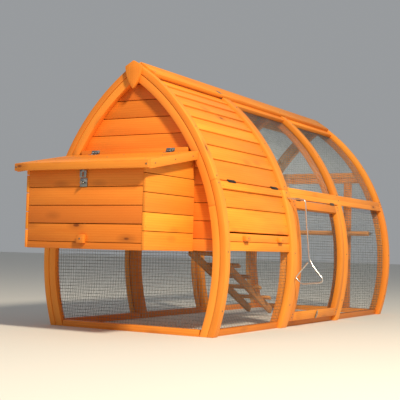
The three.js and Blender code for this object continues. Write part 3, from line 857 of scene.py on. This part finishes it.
# %% Droppings tray
tray_y = (BOARD_Y[0] + 0.0015, BOARD_Y[1] - 0.0015)
front_strip = arch_plank(
    wedge(EDGE_IN, EDGE_OUT, TRAY_LOW, FLAP_LOW - 0.36), *tray_y
)
PULL = {"half": 0.022, "x": (0.500, 0.523), "z": (0.439, 0.462)}
pulls = [
    bar(*PULL["x"], y - PULL["half"], y + PULL["half"], *PULL["z"], grain_y, 0.003)
    for y in (0.212, 0.583)
]
piece(
    "droppings_tray_front", [front_strip, *pulls], BOARD_WOOD, "droppings_tray", ["droppings_tray"]
)
for y in (0.212, 0.583):
    fix("droppings_tray", spot(0.5232, y, 0.4505), RIGHT, 0.003)

PAN = {"x": (-0.430, 0.480), "y": (0.054, 0.702), "z": (0.436, 0.458), "wall": 0.0015}
(px0, px1), (py0, py1), (pz0, pz1), wall = PAN["x"], PAN["y"], PAN["z"], PAN["wall"]
pan = [
    bar(px0, px1, py0, py1, pz0, pz0 + wall, edge=0.0003),
    bar(px0, px1, py0, py0 + wall, pz0, pz1, edge=0.0003),
    bar(px0, px1, py1 - wall, py1, pz0, pz1, edge=0.0003),
    bar(px0, px0 + wall, py0, py1, pz0, pz1, edge=0.0003),
    bar(px1 - wall, px1, py0, py1, pz0, pz1, edge=0.0003),
    bar(px0, px1, py0, py0 + 0.008, pz1 - wall, pz1, edge=0.0003),
    bar(px0, px1, py1 - 0.008, py1, pz1 - wall, pz1, edge=0.0003),
]
piece("droppings_tray_pan", pan, SHEET_ZINC, "droppings_tray")

# %% [markdown]
# ## Gable
# The front wall is set back inside the arch. Its boards lie level and butt edge to edge, and
# their eased edges make a row of fine grooves. The hidden middle part leaves two openings into
# the nest box. A ledger across it carries the hinges of the nest lid.

# %% Gable
GABLE_Y = (0.0343, 0.0463)
GABLE_R = ARCH_R - 0.031
GABLE_LINES = [0.386, 0.442, 0.525, 0.608, 0.690, 0.770, 0.853, 0.936, 1.018, 1.103, 1.180, 1.2425]
NEST_HOLE = {"inner": 0.020, "outer": 0.290, "z": (0.442, 0.690)}


BUTT_GAP = 0.0014  # half the gap that dry boards leave between them


def level_board(x_low, x_high, z0, z1, y_ends):
    """Board between two heights; x_low and x_high give its two ends at a height."""
    rings = []
    for z in (z0 + BUTT_GAP, z1 - BUTT_GAP):
        low, high = x_low(z), x_high(z)
        rings.append(
            [
                spot(x, y, z)
                for x, y in (
                    (low, y_ends[0]), (high, y_ends[0]), (high, y_ends[1]), (low, y_ends[1])
                )
            ]
        )
    return loft(rings, grain_x, 0.0016)


def gable_board(z0, z1, y_ends=GABLE_Y, r=GABLE_R, holes=None):
    left, right = (lambda z: -half_width(r, z)), (lambda z: half_width(r, z))
    if not holes or z1 <= holes["z"][0] + 1e-6 or z0 >= holes["z"][1] - 1e-6:
        return [level_board(left, right, z0, z1, y_ends)]
    inner, outer = holes["inner"], holes["outer"]
    return [
        level_board(left, lambda z: -outer, z0, z1, y_ends),
        level_board(lambda z: -inner, lambda z: inner, z0, z1, y_ends),
        level_board(lambda z: outer, right, z0, z1, y_ends),
    ]


gable = []
for low, high in zip(GABLE_LINES, GABLE_LINES[1:]):
    gable += gable_board(low, high, holes=NEST_HOLE)
gable.append(bar(-0.304, 0.304, -0.001, 0.0345, 0.800, 0.864, edge=0.0025))
piece("gable_boards_level", gable, PAINTED_SHADE_FRONT_WOOD, "frame", ["gable_boards"])

# %% [markdown]
# ## Inside the house
# The floor, the partition with its sliding pop door, and the perch are seen only when the flap
# or the lid is up. They are still boarded like the rest, because a plain sheet would show.

# %% Inside the house
floor_boards = [
    bar(
        -0.474 + i * 0.1185, -0.474 + (i + 1) * 0.1185, 0.0466, 0.7100, 0.418, FLOOR_TOP - 0.0004,
        grain_y,
    )
    for i in range(8)
]
piece("house_floor_boards", floor_boards, PAINTED_SHADE_INNER_WOOD, "frame", ["house_floor"])

PARTITION_Y = (0.716, 0.728)
DOORWAY = {"x": (-0.180, 0.070), "z": (0.450, 0.690)}
wall_r = WEB_IN - 0.001
wall_lines = [0.392, 0.450, 0.530, 0.610, 0.690, 0.775, 0.860, 0.945, 1.030, 1.115, 1.188]
wall_boards = []
for low, high in zip(wall_lines, wall_lines[1:]):
    left, right = (lambda z: -half_width(wall_r, z)), (lambda z: half_width(wall_r, z))
    if DOORWAY["z"][0] <= low < DOORWAY["z"][1]:
        wall_boards.append(level_board(left, lambda z: DOORWAY["x"][0], low, high, PARTITION_Y))
        wall_boards.append(level_board(lambda z: DOORWAY["x"][1], right, low, high, PARTITION_Y))
    else:
        wall_boards.append(level_board(left, right, low, high, PARTITION_Y))
for z0 in (0.422, 0.700):
    wall_boards.append(bar(-0.195, 0.345, PARTITION_Y[1] - 0.001, 0.744, z0, z0 + 0.012))
piece("partition_boards", wall_boards, PAINTED_SHADE_INNER_WOOD, "frame", ["partition"])

POP = {"x": (-0.188, 0.084), "z": (0.436, 0.698)}
pop_width = (POP["x"][1] - POP["x"][0]) / 3
pop_door = [
    bar(
        POP["x"][0] + i * pop_width, POP["x"][0] + (i + 1) * pop_width, 0.731, 0.741, *POP["z"],
        grain_z,
    )
    for i in range(3)
]
pop_door.append(
    bar(POP["x"][1] - 0.026, POP["x"][1], 0.740, 0.756, ROD_Z - 0.014, ROD_Z + 0.014, grain_z)
)
piece("pop_door_boards", pop_door, PAINTED_SHADE_INNER_WOOD, "pop_door", ["pop_door"])
piece(
    "house_perch_bar", [bar(0.225, 0.270, 0.0466, 0.7157, 0.590, 0.622, grain_y, 0.006)],
    PAINTED_SHADE_INNER_WOOD, "frame", ["house_perch"],
)

# %% [markdown]
# ## Pull rod
# The pop door is worked from outside by a bent zinc wire that ends in a three-cornered grip.
# Its path is a smooth curve through the bends, as a wire takes a small radius at each.

# %% Pull rod
ROD_BENDS = [
    (0.0843, 0.670), (0.200, 0.670), (0.320, 0.670), (0.440, 0.670), (0.484, 0.6695), (0.520, 0.6665),
    (0.553, 0.6635), (0.564, 0.660), (0.569, 0.651), (0.575, 0.600), (0.583, 0.520), (0.591, 0.440),
    (0.600, 0.362), (0.607, 0.344), (0.636, 0.303), (0.671, 0.262), (0.672, 0.248), (0.658, 0.240),
    (0.612, 0.235), (0.568, 0.231), (0.556, 0.235), (0.530, 0.256), (0.527, 0.264), (0.538, 0.279),
    (0.568, 0.314), (0.592, 0.341),
]


def smooth_path(points, per_span=5):
    """Centripetal spline through the points, so that it never loops at a tight bend."""
    ends = [points[0] * 2 - points[1], *points, points[-1] * 2 - points[-2]]
    path = []
    for i in range(1, len(ends) - 2):
        p0, p1, p2, p3 = ends[i - 1 : i + 3]
        t1 = (p1 - p0).length ** 0.5
        t2 = t1 + (p2 - p1).length ** 0.5
        t3 = t2 + (p3 - p2).length ** 0.5
        for k in range(per_span):
            t = t1 + (t2 - t1) * k / per_span
            a1 = p0 * ((t1 - t) / t1) + p1 * (t / t1)
            a2 = p1 * ((t2 - t) / (t2 - t1)) + p2 * ((t - t1) / (t2 - t1))
            a3 = p2 * ((t3 - t) / (t3 - t2)) + p3 * ((t - t2) / (t3 - t2))
            b1 = a1 * ((t2 - t) / t2) + a2 * (t / t2)
            b2 = a2 * ((t3 - t) / (t3 - t1)) + a3 * ((t - t1) / (t3 - t1))
            path.append(b1 * ((t2 - t) / (t2 - t1)) + b2 * ((t - t1) / (t2 - t1)))
    return [*path, points[-1]]


rod_path = smooth_path([spot(x, ROD_Y, z) for x, z in ROD_BENDS])
piece("pull_rod_wire", [rod(rod_path, ROD_R, 12)], PAINTED_HIGHLIGHT_ROD_ZINC, "pop_door", ["pull_rod"])

# %% [markdown]
# ## Run door
# Two stiles follow the curve of the arch, with a rail between them at the top and the bottom.
# A turn button on the bottom rail holds it shut against the sill.

# %% Run door
DOOR = {
    "y": (MIDDLE[1] + 0.002, INTER[0] - 0.002), "top": 16.95, "low": 0.032, "stile": 0.046,
    "rail": 0.045,
}
rail_turn = math.degrees(DOOR["rail"] / ARCH_R)
door_low, door_high = at_z(DOOR["low"]), at_deg(DOOR["top"])
inner_y = (DOOR["y"][0] + DOOR["stile"], DOOR["y"][1] - DOOR["stile"])
DOOR_IN = CAP_IN + 0.0003


door = [
    band(DOOR_IN, ARCH_R, door_low, door_high, DOOR["y"][0], inner_y[0]),
    band(DOOR_IN, ARCH_R, door_low, door_high, inner_y[1], DOOR["y"][1]),
    across_grain(band(DOOR_IN, ARCH_R, door_low, at_z(DOOR["low"] + DOOR["rail"]), *inner_y)),
    across_grain(band(DOOR_IN, ARCH_R, at_deg(DOOR["top"] - rail_turn), door_high, *inner_y)),
]
piece("run_door_stiles_and_rails", door, FRAME_WOOD, "run_door", ["run_door_frame"])
for y in (DOOR["y"][0] + 0.023, DOOR["y"][1] - 0.023):
    for degrees in (-15.6, -14.8, 15.3, 16.3):
        fix(
            "run_door", arch(ARCH_R + 0.0002, math.radians(degrees), y), arch_normal(degrees),
            0.0034,
        )

LATCH = {"z": 0.054, "y": 1.128, "half": 0.022, "wide": 0.0065}
latch_deg = math.degrees(at_z(LATCH["z"])(ARCH_R))
latch_at = arch(ARCH_R + 0.002, math.radians(latch_deg), LATCH["y"])
latch_out = arch_normal(latch_deg)
latch_up = REARWARD.cross(latch_out) * -1
button = []
for lift in (0.0, 0.004):
    ring = []
    for i in range(24):
        turn = 2 * math.pi * i / 24
        long_shift = LATCH["half"] - LATCH["wide"]
        centre = latch_up * (long_shift if math.cos(turn) >= 0 else -long_shift)
        spoke = latch_up * math.cos(turn) + REARWARD * math.sin(turn)
        ring.append(latch_at + latch_out * lift + centre + spoke * LATCH["wide"])
    button.append(ring)
hub = turned(
    latch_at, latch_out,
    ((0, 0.008), (0.0048, 0.008), (0.006, 0.0062), (0.0062, 0.003), (0.0048, 0.0024)), 20,
)
piece(
    "turn_button", [loft(button, grain_z, 0.0006), hub], BRIGHT_ZINC, "door_latch",
    ["run_door_latch"],
)

# %% [markdown]
# ## Welded mesh
# The mesh is a square grid of galvanised wires, 16 mm apart, welded where they cross. It is
# built wire by wire: hoops that follow the arch, and straight wires that lie on them. A sheet
# with a see-through pattern would be lighter, but it has no thickness when seen close by. The
# wires are drawn 1.3 mm thick, a little over the real 1 mm, so that they show from afar.

# %% Welded mesh
PITCH, WIRE_R = 0.016, 0.00065


def thin_wire(path, outs):
    """Four-sided wire along a path, with one side square to the given directions."""
    points, faces = [], []
    for i, (point, out) in enumerate(zip(path, outs)):
        ahead = (path[min(i + 1, len(path) - 1)] - path[max(i - 1, 0)]).normalized()
        across = ahead.cross(out).normalized()
        points += [
            point + out * WIRE_R, point + across * WIRE_R, point - out * WIRE_R,
            point - across * WIRE_R,
        ]
        if i:
            at = 4 * i
            faces += [
                [at - 4 + k, at - 4 + (k + 1) % 4, at + (k + 1) % 4, at + k] for k in range(4)
            ]
    last = len(points) - 4
    faces += [[3, 2, 1, 0], [last, last + 1, last + 2, last + 3]]
    return points, faces, points, 0.0


def spread(low, high, pitch=PITCH):
    """Evenly pitched places between two limits, centred in what is left over."""
    count = int((high - low) / pitch)
    start = (low + high - count * pitch) / 2
    return [start + i * pitch for i in range(count + 1)]


def arch_mesh(r, start, end, y0, y1, side):
    low, high = start(r), end(r)
    wires = []
    steps = max(2, math.ceil((high - low) / math.radians(3)))
    angles = [low + (high - low) * i / steps for i in range(steps + 1)]
    for y in spread(y0 + 0.001, y1 - 0.001):
        path = [arch(r - WIRE_R, angle, y, side) for angle in angles]
        wires.append(
            thin_wire(path, [Vector((side * math.cos(a), 0, math.sin(a))) for a in angles])
        )
    for angle in spread(low + 0.001, high - 0.001, PITCH / r):
        out = Vector((side * math.cos(angle), 0, math.sin(angle)))
        wires.append(thin_wire([arch(r + WIRE_R, angle, y, side) for y in (y0, y1)], [out, out]))
    return wires


def flat_mesh(r, low, high, y):
    """Upright grid that fills the arch between two heights."""
    wires, out = [], REARWARD
    for z in spread(low + 0.002, high - 0.002):
        reach = half_width(r, z)
        if reach > 0.004:
            wires.append(thin_wire([spot(x, y, z) for x in (-reach, reach)], [out, out]))
    widest = half_width(r, min(max(BULGE_Z, low), high))
    for x in spread(-widest + 0.002, widest - 0.002):
        rise = math.sqrt(max(r * r - (abs(x) - ARCH_X) ** 2, 0))
        top, foot = min(high, BULGE_Z + rise), max(low, BULGE_Z - rise)
        if top - foot > 0.004:
            wires.append(thin_wire([spot(x, y + 2 * WIRE_R, z) for z in (foot, top)], [out, out]))
    return wires


MESH_R = CAP_IN - 0.0015
above_sill = at_z(SILL_TOP + 0.001)
below_rail, above_rail = at_z(RAIL_Z[0] - 0.001), at_z(RAIL_Z[0] + 0.020)
bay_one = (MIDDLE[1] - 0.0047, INTER[0] + 0.0047)
bay_two = (INTER[1] - 0.0047, LENGTH - END_RIB - 0.0003)
under_house = (GABLE_Y[1] + 0.0003, MIDDLE[0] + 0.0047)
panels = {}
for name, side in SIDES:
    panels[f"house_mesh_{name}"] = (above_sill, at_z(FLOOR_LOW - 0.002), *under_house, side)
    panels[f"roof_mesh_front_{name}"] = (above_rail, at_deg(54), *bay_one, side)
    panels[f"roof_mesh_rear_{name}"] = (above_rail, at_deg(54), *bay_two, side)
    panels[f"run_mesh_rear_{name}"] = (above_sill, below_rail, *bay_two, side)
panels["run_mesh_front_left"] = (above_sill, below_rail, *bay_one, -1)
for node, (start, end, y0, y1, side) in panels.items():
    piece(f"{node}_wires", arch_mesh(MESH_R, start, end, y0, y1, side), MESH_WIRE, "frame", [node])
door_wires = arch_mesh(
    CAP_IN - 0.001, at_z(DOOR["low"] + 0.012), at_deg(DOOR["top"] - 0.6), DOOR["y"][0] + 0.014,
    DOOR["y"][1] - 0.014, 1,
)
piece("run_door_mesh_wires", door_wires, MESH_WIRE, "run_door", ["run_door_mesh"])
piece(
    "front_mesh_wires", flat_mesh(WEB_IN - 0.001, SILL_TOP + 0.001, 0.382, 0.0182), MESH_WIRE,
    "frame", ["front_mesh"],
)
piece(
    "rear_mesh_wires", flat_mesh(ARCH_R - 0.034, SILL_TOP + 0.001, 1.236, LENGTH - END_RIB - 0.002),
    MESH_WIRE, "frame", ["rear_mesh"],
)

# %% [markdown]
# ## Rear gable and run fittings
# The rear arch holds a rail of two boards, one above the other, on two posts. A round perch
# crosses the run on bolts with wing nuts, and a ladder leads from the pop door to the ground.

# %% Rear gable and run fittings
rear_y = (LENGTH - END_RIB + 0.005, LENGTH - 0.005)
rail_r = WEB_IN - 0.001
REAR_RAIL = (0.859, 0.893, 0.930)
rear = [
    level_board(
        lambda z: -half_width(rail_r, z), lambda z: half_width(rail_r, z), low, high, rear_y
    )
    for low, high in zip(REAR_RAIL, REAR_RAIL[1:])
]
for x0, x1 in ((0.207, 0.251), (-0.251, -0.207)):
    rear.append(bar(x0, x1, *rear_y, SILL_TOP + 0.0003, REAR_RAIL[0], grain_z))
piece("rear_frame_timbers", rear, FRAME_WOOD, "frame", ["rear_frame"])

PERCH = {"y": 1.990, "z": 0.520, "r": 0.015, "half": 0.466}
perch_start = spot(-PERCH["half"], PERCH["y"], PERCH["z"])
ends = 2 * PERCH["half"]
dowel = barrel(perch_start, RIGHT, ends, PERCH["r"], 0.0015, 28)
dowel = (dowel[0], dowel[1], [Vector(grain_x(p)) for p in dowel[0]], 0.2)
piece("run_perch_dowel", [dowel], PAINTED_SHADE_INNER_WOOD, "frame", ["run_perch"])

wing_nuts = []
for side in (-1, 1):
    at, out = spot(side * 0.4745, PERCH["y"], PERCH["z"]), Vector((side, 0, 0))
    wing_nuts.append(turned(at - out * 0.010, out, ((0, 0.003), (0.020, 0.003)), 10))
    wing_nuts.append(turned(at, out, ((0, 0.011), (0.0012, 0.011)), 20))
    wing_nuts.append(turned(at + out * 0.0012, out, ((0, 0.006), (0.007, 0.0045)), 14))
    for turn in (1, -1):
        wing = [
            Vector((0, a, b))
            for a, b in ((0.003, 0), (0.014, 0.004), (0.015, 0.010), (0.009, 0.009), (0.003, 0.005))
        ]
        rings = [
            [at + Vector((side * (0.0015 + p.z), turn * p.y, shift)) for p in wing]
            for shift in (-0.0012, 0.0012)
        ]
        wing_nuts.append(loft(rings, grain_z, 0.0004))
piece("perch_wing_nuts", wing_nuts, BRIGHT_ZINC, "frame")

LADDER = {
    "x": -0.056, "half": 0.082, "top": (0.762, 0.366), "foot": (1.510, 0.012), "deep": 0.040,
    "wide": 0.020,
}
ladder_run = LADDER["foot"][0] - LADDER["top"][0]
ladder_drop = LADDER["top"][1] - LADDER["foot"][1]
ladder_long = math.hypot(ladder_run, ladder_drop)
lean = Matrix.Rotation(-math.atan2(ladder_drop, ladder_run), 4, "X")
tilt = Matrix.Translation((0, back(LADDER["top"][0]), LADDER["top"][1])) @ lean


def ladder_bar(x0, x1, along0, along1, up0, up1, grain, edge):
    rings = [
        [
            tilt @ Vector((x, a, u))
            for a, u in ((along0, up0), (along1, up0), (along1, up1), (along0, up1))
        ]
        for x in (x0, x1)
    ]
    return loft(rings, grain, edge)


rungs = []
for side in (-1, 1):
    outer = LADDER["x"] + side * LADDER["half"]
    edges = sorted((outer, outer - side * LADDER["wide"]))
    rungs.append(ladder_bar(*edges, 0.012, ladder_long - 0.008, 0, LADDER["deep"], grain_y, EASE))
RUNG = {"count": 5, "pitch": 0.150, "first": 0.070, "half": 0.125, "wide": 0.030, "thick": 0.016}
for i in range(RUNG["count"]):
    at = RUNG["first"] + i * RUNG["pitch"]
    rungs.append(
        ladder_bar(
            LADDER["x"] - RUNG["half"], LADDER["x"] + RUNG["half"], at, at + RUNG["wide"],
            LADDER["deep"] - 0.002, LADDER["deep"] + RUNG["thick"] - 0.002, grain_x, 0.003,
        )
    )
piece("ladder_stringers_and_slats", rungs, PAINTED_SHADE_INNER_WOOD, "frame", ["ladder"])

# %% [markdown]
# ## Nest box
# A plain box of level boards, with a sloping lid. The lowest board of its front is the front of
# a tray that pulls out by a square knob, and the rail under it holds up the floor.

# %% Nest box
BOX_HALF, BOX_FRONT, LID_HALF, LID_FRONT = 0.327, -0.372, 0.365, -0.416
LID_BACK_Z, LID_FRONT_Z, LID_T, SIDE_T = 0.844, 0.764, 0.015, 0.014
box_inner = BOX_FRONT + SIDE_T
lid_slope = (LID_BACK_Z - LID_FRONT_Z) / -LID_FRONT


def lid_z(y):
    return LID_BACK_Z + y * lid_slope


def lid_under(y):
    return lid_z(y) - LID_T - 0.0015


SIDE_LINES = [0.383, 0.466, 0.547, 0.632, 0.714]
side_rear = GABLE_Y[0] - 0.0003
for name, side in SIDES:
    faces = (side * (BOX_HALF - SIDE_T), side * BOX_HALF)
    boards = []
    for low, high in zip(SIDE_LINES, SIDE_LINES[1:]):
        low, high = low + BUTT_GAP, high - BUTT_GAP
        outline = [(BOX_FRONT, low), (side_rear, low), (side_rear, high), (BOX_FRONT, high)]
        boards.append(prism(outline, in_yz, faces, grain_y, 0.0018))
    top = [
        (BOX_FRONT, SIDE_LINES[-1] + BUTT_GAP), (side_rear, SIDE_LINES[-1] + BUTT_GAP),
        (side_rear, lid_under(-0.002)), (-0.002, lid_under(-0.002)),
        (BOX_FRONT, lid_under(BOX_FRONT)),
    ]
    boards.append(prism(top, in_yz, faces, grain_y, 0.0018))
    piece(f"nest_side_{name}_boards", boards, BOARD_WOOD, "frame", [f"nest_side_{name}"])
    for z in (0.40, 0.45, 0.485, 0.53, 0.57, 0.61, 0.655, 0.695):
        at = spot(side * (BOX_HALF + 0.0002), BOX_FRONT + SIDE_T / 2, z)
        fix("frame", at, Vector((side, 0, 0)), 0.0018)

front_top = lid_under(BOX_FRONT)
floor_half = BOX_HALF - SIDE_T - 0.0003
front_y = (BOX_FRONT + 0.001, box_inner)
front = [
    bar(-floor_half, floor_half, *front_y, low + BUTT_GAP, high - BUTT_GAP)
    for low, high in ((0.495, 0.575), (0.575, 0.657), (0.657, front_top))
]
piece("nest_front_boards", front, PAINTED_SHADE_FRONT_WOOD, "frame", ["nest_front"])
nest_floor = [
    bar(-floor_half, floor_half, *front_y, 0.383, 0.412),
    bar(-floor_half, floor_half, box_inner - 0.001, side_rear, 0.396, 0.410),
]
piece("nest_floor_and_rail", nest_floor, PAINTED_SHADE_FRONT_WOOD, "frame", ["nest_floor"])
nest_tray = [
    bar(-floor_half, floor_half, *front_y, 0.4145, 0.4925),
    bar(-0.300, 0.300, box_inner, 0.0283, 0.414, 0.420),
    bar(-0.300, -0.292, box_inner, 0.0283, 0.420, 0.436, grain_y),
    bar(0.292, 0.300, box_inner, 0.0283, 0.420, 0.436, grain_y),
    bar(-0.292, 0.292, 0.0203, 0.0283, 0.420, 0.436),
    bar(-0.020, 0.020, BOX_FRONT - 0.020, BOX_FRONT + 0.001, 0.408, 0.447, edge=0.0035),
]
piece("nest_tray_and_knob", nest_tray, PAINTED_SHADE_FRONT_WOOD, "nest_tray", ["nest_tray"])
fix("nest_tray", spot(0, BOX_FRONT - 0.0202, 0.4275), FORWARD, 0.0044)
divider = [
    (box_inner + 0.002, 0.442), (0.0333, 0.442), (0.0333, 0.790),
    (box_inner + 0.002, lid_under(box_inner) - 0.006),
]
piece(
    "nest_divider_board", [prism(divider, in_yz, (-0.006, 0.006), grain_y)], PAINTED_SHADE_INNER_WOOD, "frame",
    ["nest_divider"],
)

# %% [markdown]
# ## Nest lid
# Three boards in a frame of thin fascias slope down to the front and overhang the box. The lid
# hangs on two zinc hinges and closes with a hasp over a staple.

# %% Nest lid
LID_BACK = -0.003
RIM = {"side": 0.040, "front": 0.033, "thick": 0.018}


def lid_slab(y0, y1, deep):
    return [(y0, lid_z(y0)), (y1, lid_z(y1)), (y1, lid_z(y1) - deep), (y0, lid_z(y0) - deep)]


lid_cuts = [LID_FRONT + RIM["thick"], -0.275, -0.139, LID_BACK]
lid = [
    prism(
        lid_slab(y0, y1, LID_T), in_yz, (-LID_HALF + RIM["thick"], LID_HALF - RIM["thick"]),
        grain_x, 0.002,
    )
    for y0, y1 in zip(lid_cuts, lid_cuts[1:])
]
for side in (-1, 1):
    faces = (side * LID_HALF, side * (LID_HALF - RIM["thick"]))
    lid.append(
        prism(
            lid_slab(LID_FRONT + RIM["thick"], LID_BACK, RIM["side"]), in_yz, faces, grain_y, 0.0025
        )
    )
front_outline = [
    (LID_FRONT, lid_z(LID_FRONT)), (LID_FRONT + RIM["thick"], lid_z(LID_FRONT + RIM["thick"])),
    (LID_FRONT + RIM["thick"], LID_FRONT_Z - RIM["front"]), (LID_FRONT, LID_FRONT_Z - RIM["front"]),
]
lid.append(prism(front_outline, in_yz, (-LID_HALF, LID_HALF), grain_x, 0.0025))
piece("nest_lid_boards", lid, BOARD_WOOD, "nest_lid", ["nest_lid"])
for side in (-1, 1):
    fix("nest_lid", spot(side * (LID_HALF - 0.010), LID_FRONT - 0.0002, 0.747), FORWARD, 0.0045)
    for y in (-0.36, -0.2, -0.05):
        fix(
            "nest_lid", spot(side * (LID_HALF + 0.0002), y, lid_z(y) - 0.020), Vector((side, 0, 0)),
            0.0036,
        )
for x in (-0.30, 0.0, 0.30):
    for y in (-0.34, -0.205, -0.07):
        top = Vector((0, -lid_slope, 1)).normalized()
        fix("nest_lid", spot(x, y, lid_z(y) + 0.0003), top, 0.0036)

# %% Lid hinges and hasp
for name, side in SIDES:
    middle = side * 0.215
    axis_at = spot(middle - 0.023, -0.006, 0.849)
    knuckles = [[], []]
    for i in range(5):
        span = 0.046 / 5
        start = axis_at + Vector((i * span + 0.0003, 0, 0))
        knuckles[i % 2].append(barrel(start, RIGHT, span - KNUCKLE_GAP, 0.0034))
    knuckles[0].append(
        bar(middle - 0.023, middle + 0.023, -0.003, -0.0013, 0.8495, 0.862, edge=0.0003)
    )
    slab = [
        (-0.034, lid_z(-0.034) + 0.0001), (-0.0062, lid_z(-0.0062) + 0.0001),
        (-0.0062, lid_z(-0.0062) + 0.0016), (-0.034, lid_z(-0.034) + 0.0016),
    ]
    knuckles[1].append(prism(slab, in_yz, (middle - 0.023, middle + 0.023), grain_x, 0.0003))
    for dx in (-0.013, 0.013):
        knuckles[1].append(
            screw(
                spot(middle + dx, -0.022, lid_z(-0.022) + 0.0018), Vector((0, -lid_slope, 1)),
                0.0032,
            )
        )
    piece(f"lid_hinge_{name}_fixed_leaf", knuckles[0], BRIGHT_ZINC, "frame", [f"lid_hinge_{name}"])
    piece(f"lid_hinge_{name}_moving_leaf", knuckles[1], BRIGHT_ZINC, "nest_lid")

HASP = {"half": 0.018, "y": -0.380, "axis_z": 0.7518, "low": 0.697}
strap_y = (HASP["y"] - 0.0008, HASP["y"] + 0.0008)
strap = [
    bar(-HASP["half"], -0.004, *strap_y, HASP["low"], HASP["axis_z"], edge=0.0005),
    bar(0.004, HASP["half"], *strap_y, HASP["low"], HASP["axis_z"], edge=0.0005),
    bar(-0.0045, 0.0045, *strap_y, 0.722, HASP["axis_z"], edge=0.0005),
    bar(-0.0045, 0.0045, *strap_y, HASP["low"], 0.7015, edge=0.0005),
    barrel(spot(-HASP["half"], HASP["y"], HASP["axis_z"]), RIGHT, 2 * HASP["half"], 0.003),
]
piece("lid_hasp_strap", strap, BRIGHT_ZINC, "hasp", ["lid_hasp"])
leaf_y = (HASP["y"] + 0.0005, HASP["y"] - 0.016)
under_lid = [(y, lid_z(y) - LID_T - drop) for y in leaf_y for drop in (0.0001, 0.0016)]
under_lid = [under_lid[i] for i in (0, 2, 3, 1)]
plate = prism(under_lid, in_yz, (-HASP["half"], HASP["half"]), grain_x, 0.0003)
piece("hasp_plate", [plate], BRIGHT_ZINC, "nest_lid")
loop = (
    (-0.001, 0.0045), (-0.017, 0.0045), (-0.021, 0.003), (-0.0225, 0), (-0.021, -0.003),
    (-0.017, -0.0045), (-0.001, -0.0045),
)
staple_path = [spot(0, BOX_FRONT + y, 0.6745 + z) for y, z in loop]
staple = [
    bar(-0.020, 0.020, BOX_FRONT - 0.0028, BOX_FRONT + 0.0007, 0.657, 0.694, edge=0.0006),
    rod(smooth_path(staple_path, 3), 0.0024, 10),
    barrel(spot(-0.011, BOX_FRONT - 0.015, 0.6745), RIGHT, 0.022, 0.0026, 0.0006, 12),
]
for x, z in ((-0.014, 0.663), (0.014, 0.663), (-0.014, 0.688), (0.014, 0.688)):
    staple.append(screw(spot(x, BOX_FRONT - 0.0029, z), FORWARD, 0.0028))
piece("hasp_staple_plate", staple, BRIGHT_ZINC, "frame", ["hasp_staple"])

# %% [markdown]
# ## Screws
# The screw heads were listed while their pieces were made. Each body's heads become one piece,
# so that they move with the boards they hold.

# %% Screws
for body, heads in screws.items():
    if heads:
        piece(f"screw_heads_{body}", heads, DULL_ZINC, body)

# %% [markdown]
# ## Floor and light
# A pale floor and a pale surround give soft light from everywhere. One warm lamp from the upper
# right models the curve of the side and throws the lips of the boards into shadow, and a faint
# one lifts the front.

# %% Floor and light
floor_mesh = bpy.data.meshes.new("studio_floor")
FLOOR_REACH = 30
floor_corners = [
    (x * FLOOR_REACH, y * FLOOR_REACH, 0) for x, y in ((-1, -1), (1, -1), (1, 1), (-1, 1))
]
floor_mesh.from_pydata(floor_corners, [], [[0, 1, 2, 3]])
studio_floor = bpy.data.objects.new("studio_floor", floor_mesh)
bpy.context.scene.collection.objects.link(studio_floor)
paper = bare_material("pale_studio_paper")
surface(paper, {"Base Color": colour("#D9D7D1"), "Roughness": 0.85})
floor_mesh.materials.append(paper)

world = bpy.data.worlds.new("pale_surround")
world.use_nodes = True
world.node_tree.nodes["Background"].inputs["Color"].default_value = colour("#EEF2F6")
world.node_tree.nodes["Background"].inputs["Strength"].default_value = 0.37
bpy.context.scene.world = world


def softbox(name, at, target, size, power, tint):
    lamp = bpy.data.lights.new(name, "AREA")
    lamp.shape, lamp.size, lamp.energy, lamp.color = "DISK", size, power, colour(tint)[:3]
    holder = bpy.data.objects.new(name, lamp)
    holder.location = at
    holder.rotation_euler = (Vector(target) - Vector(at)).to_track_quat("-Z", "Y").to_euler()
    bpy.context.scene.collection.objects.link(holder)


softbox("key", (4.5, -2.7, 4.8), (0, 0.9, 0.6), 0.9, 650, "#FFF0D6")
softbox("fill", (-1.8, -5.2, 2.2), (0, 0, 0.6), 2.4, 8, "#FFF4E4")
bpy.context.scene.view_settings.view_transform = "Standard"
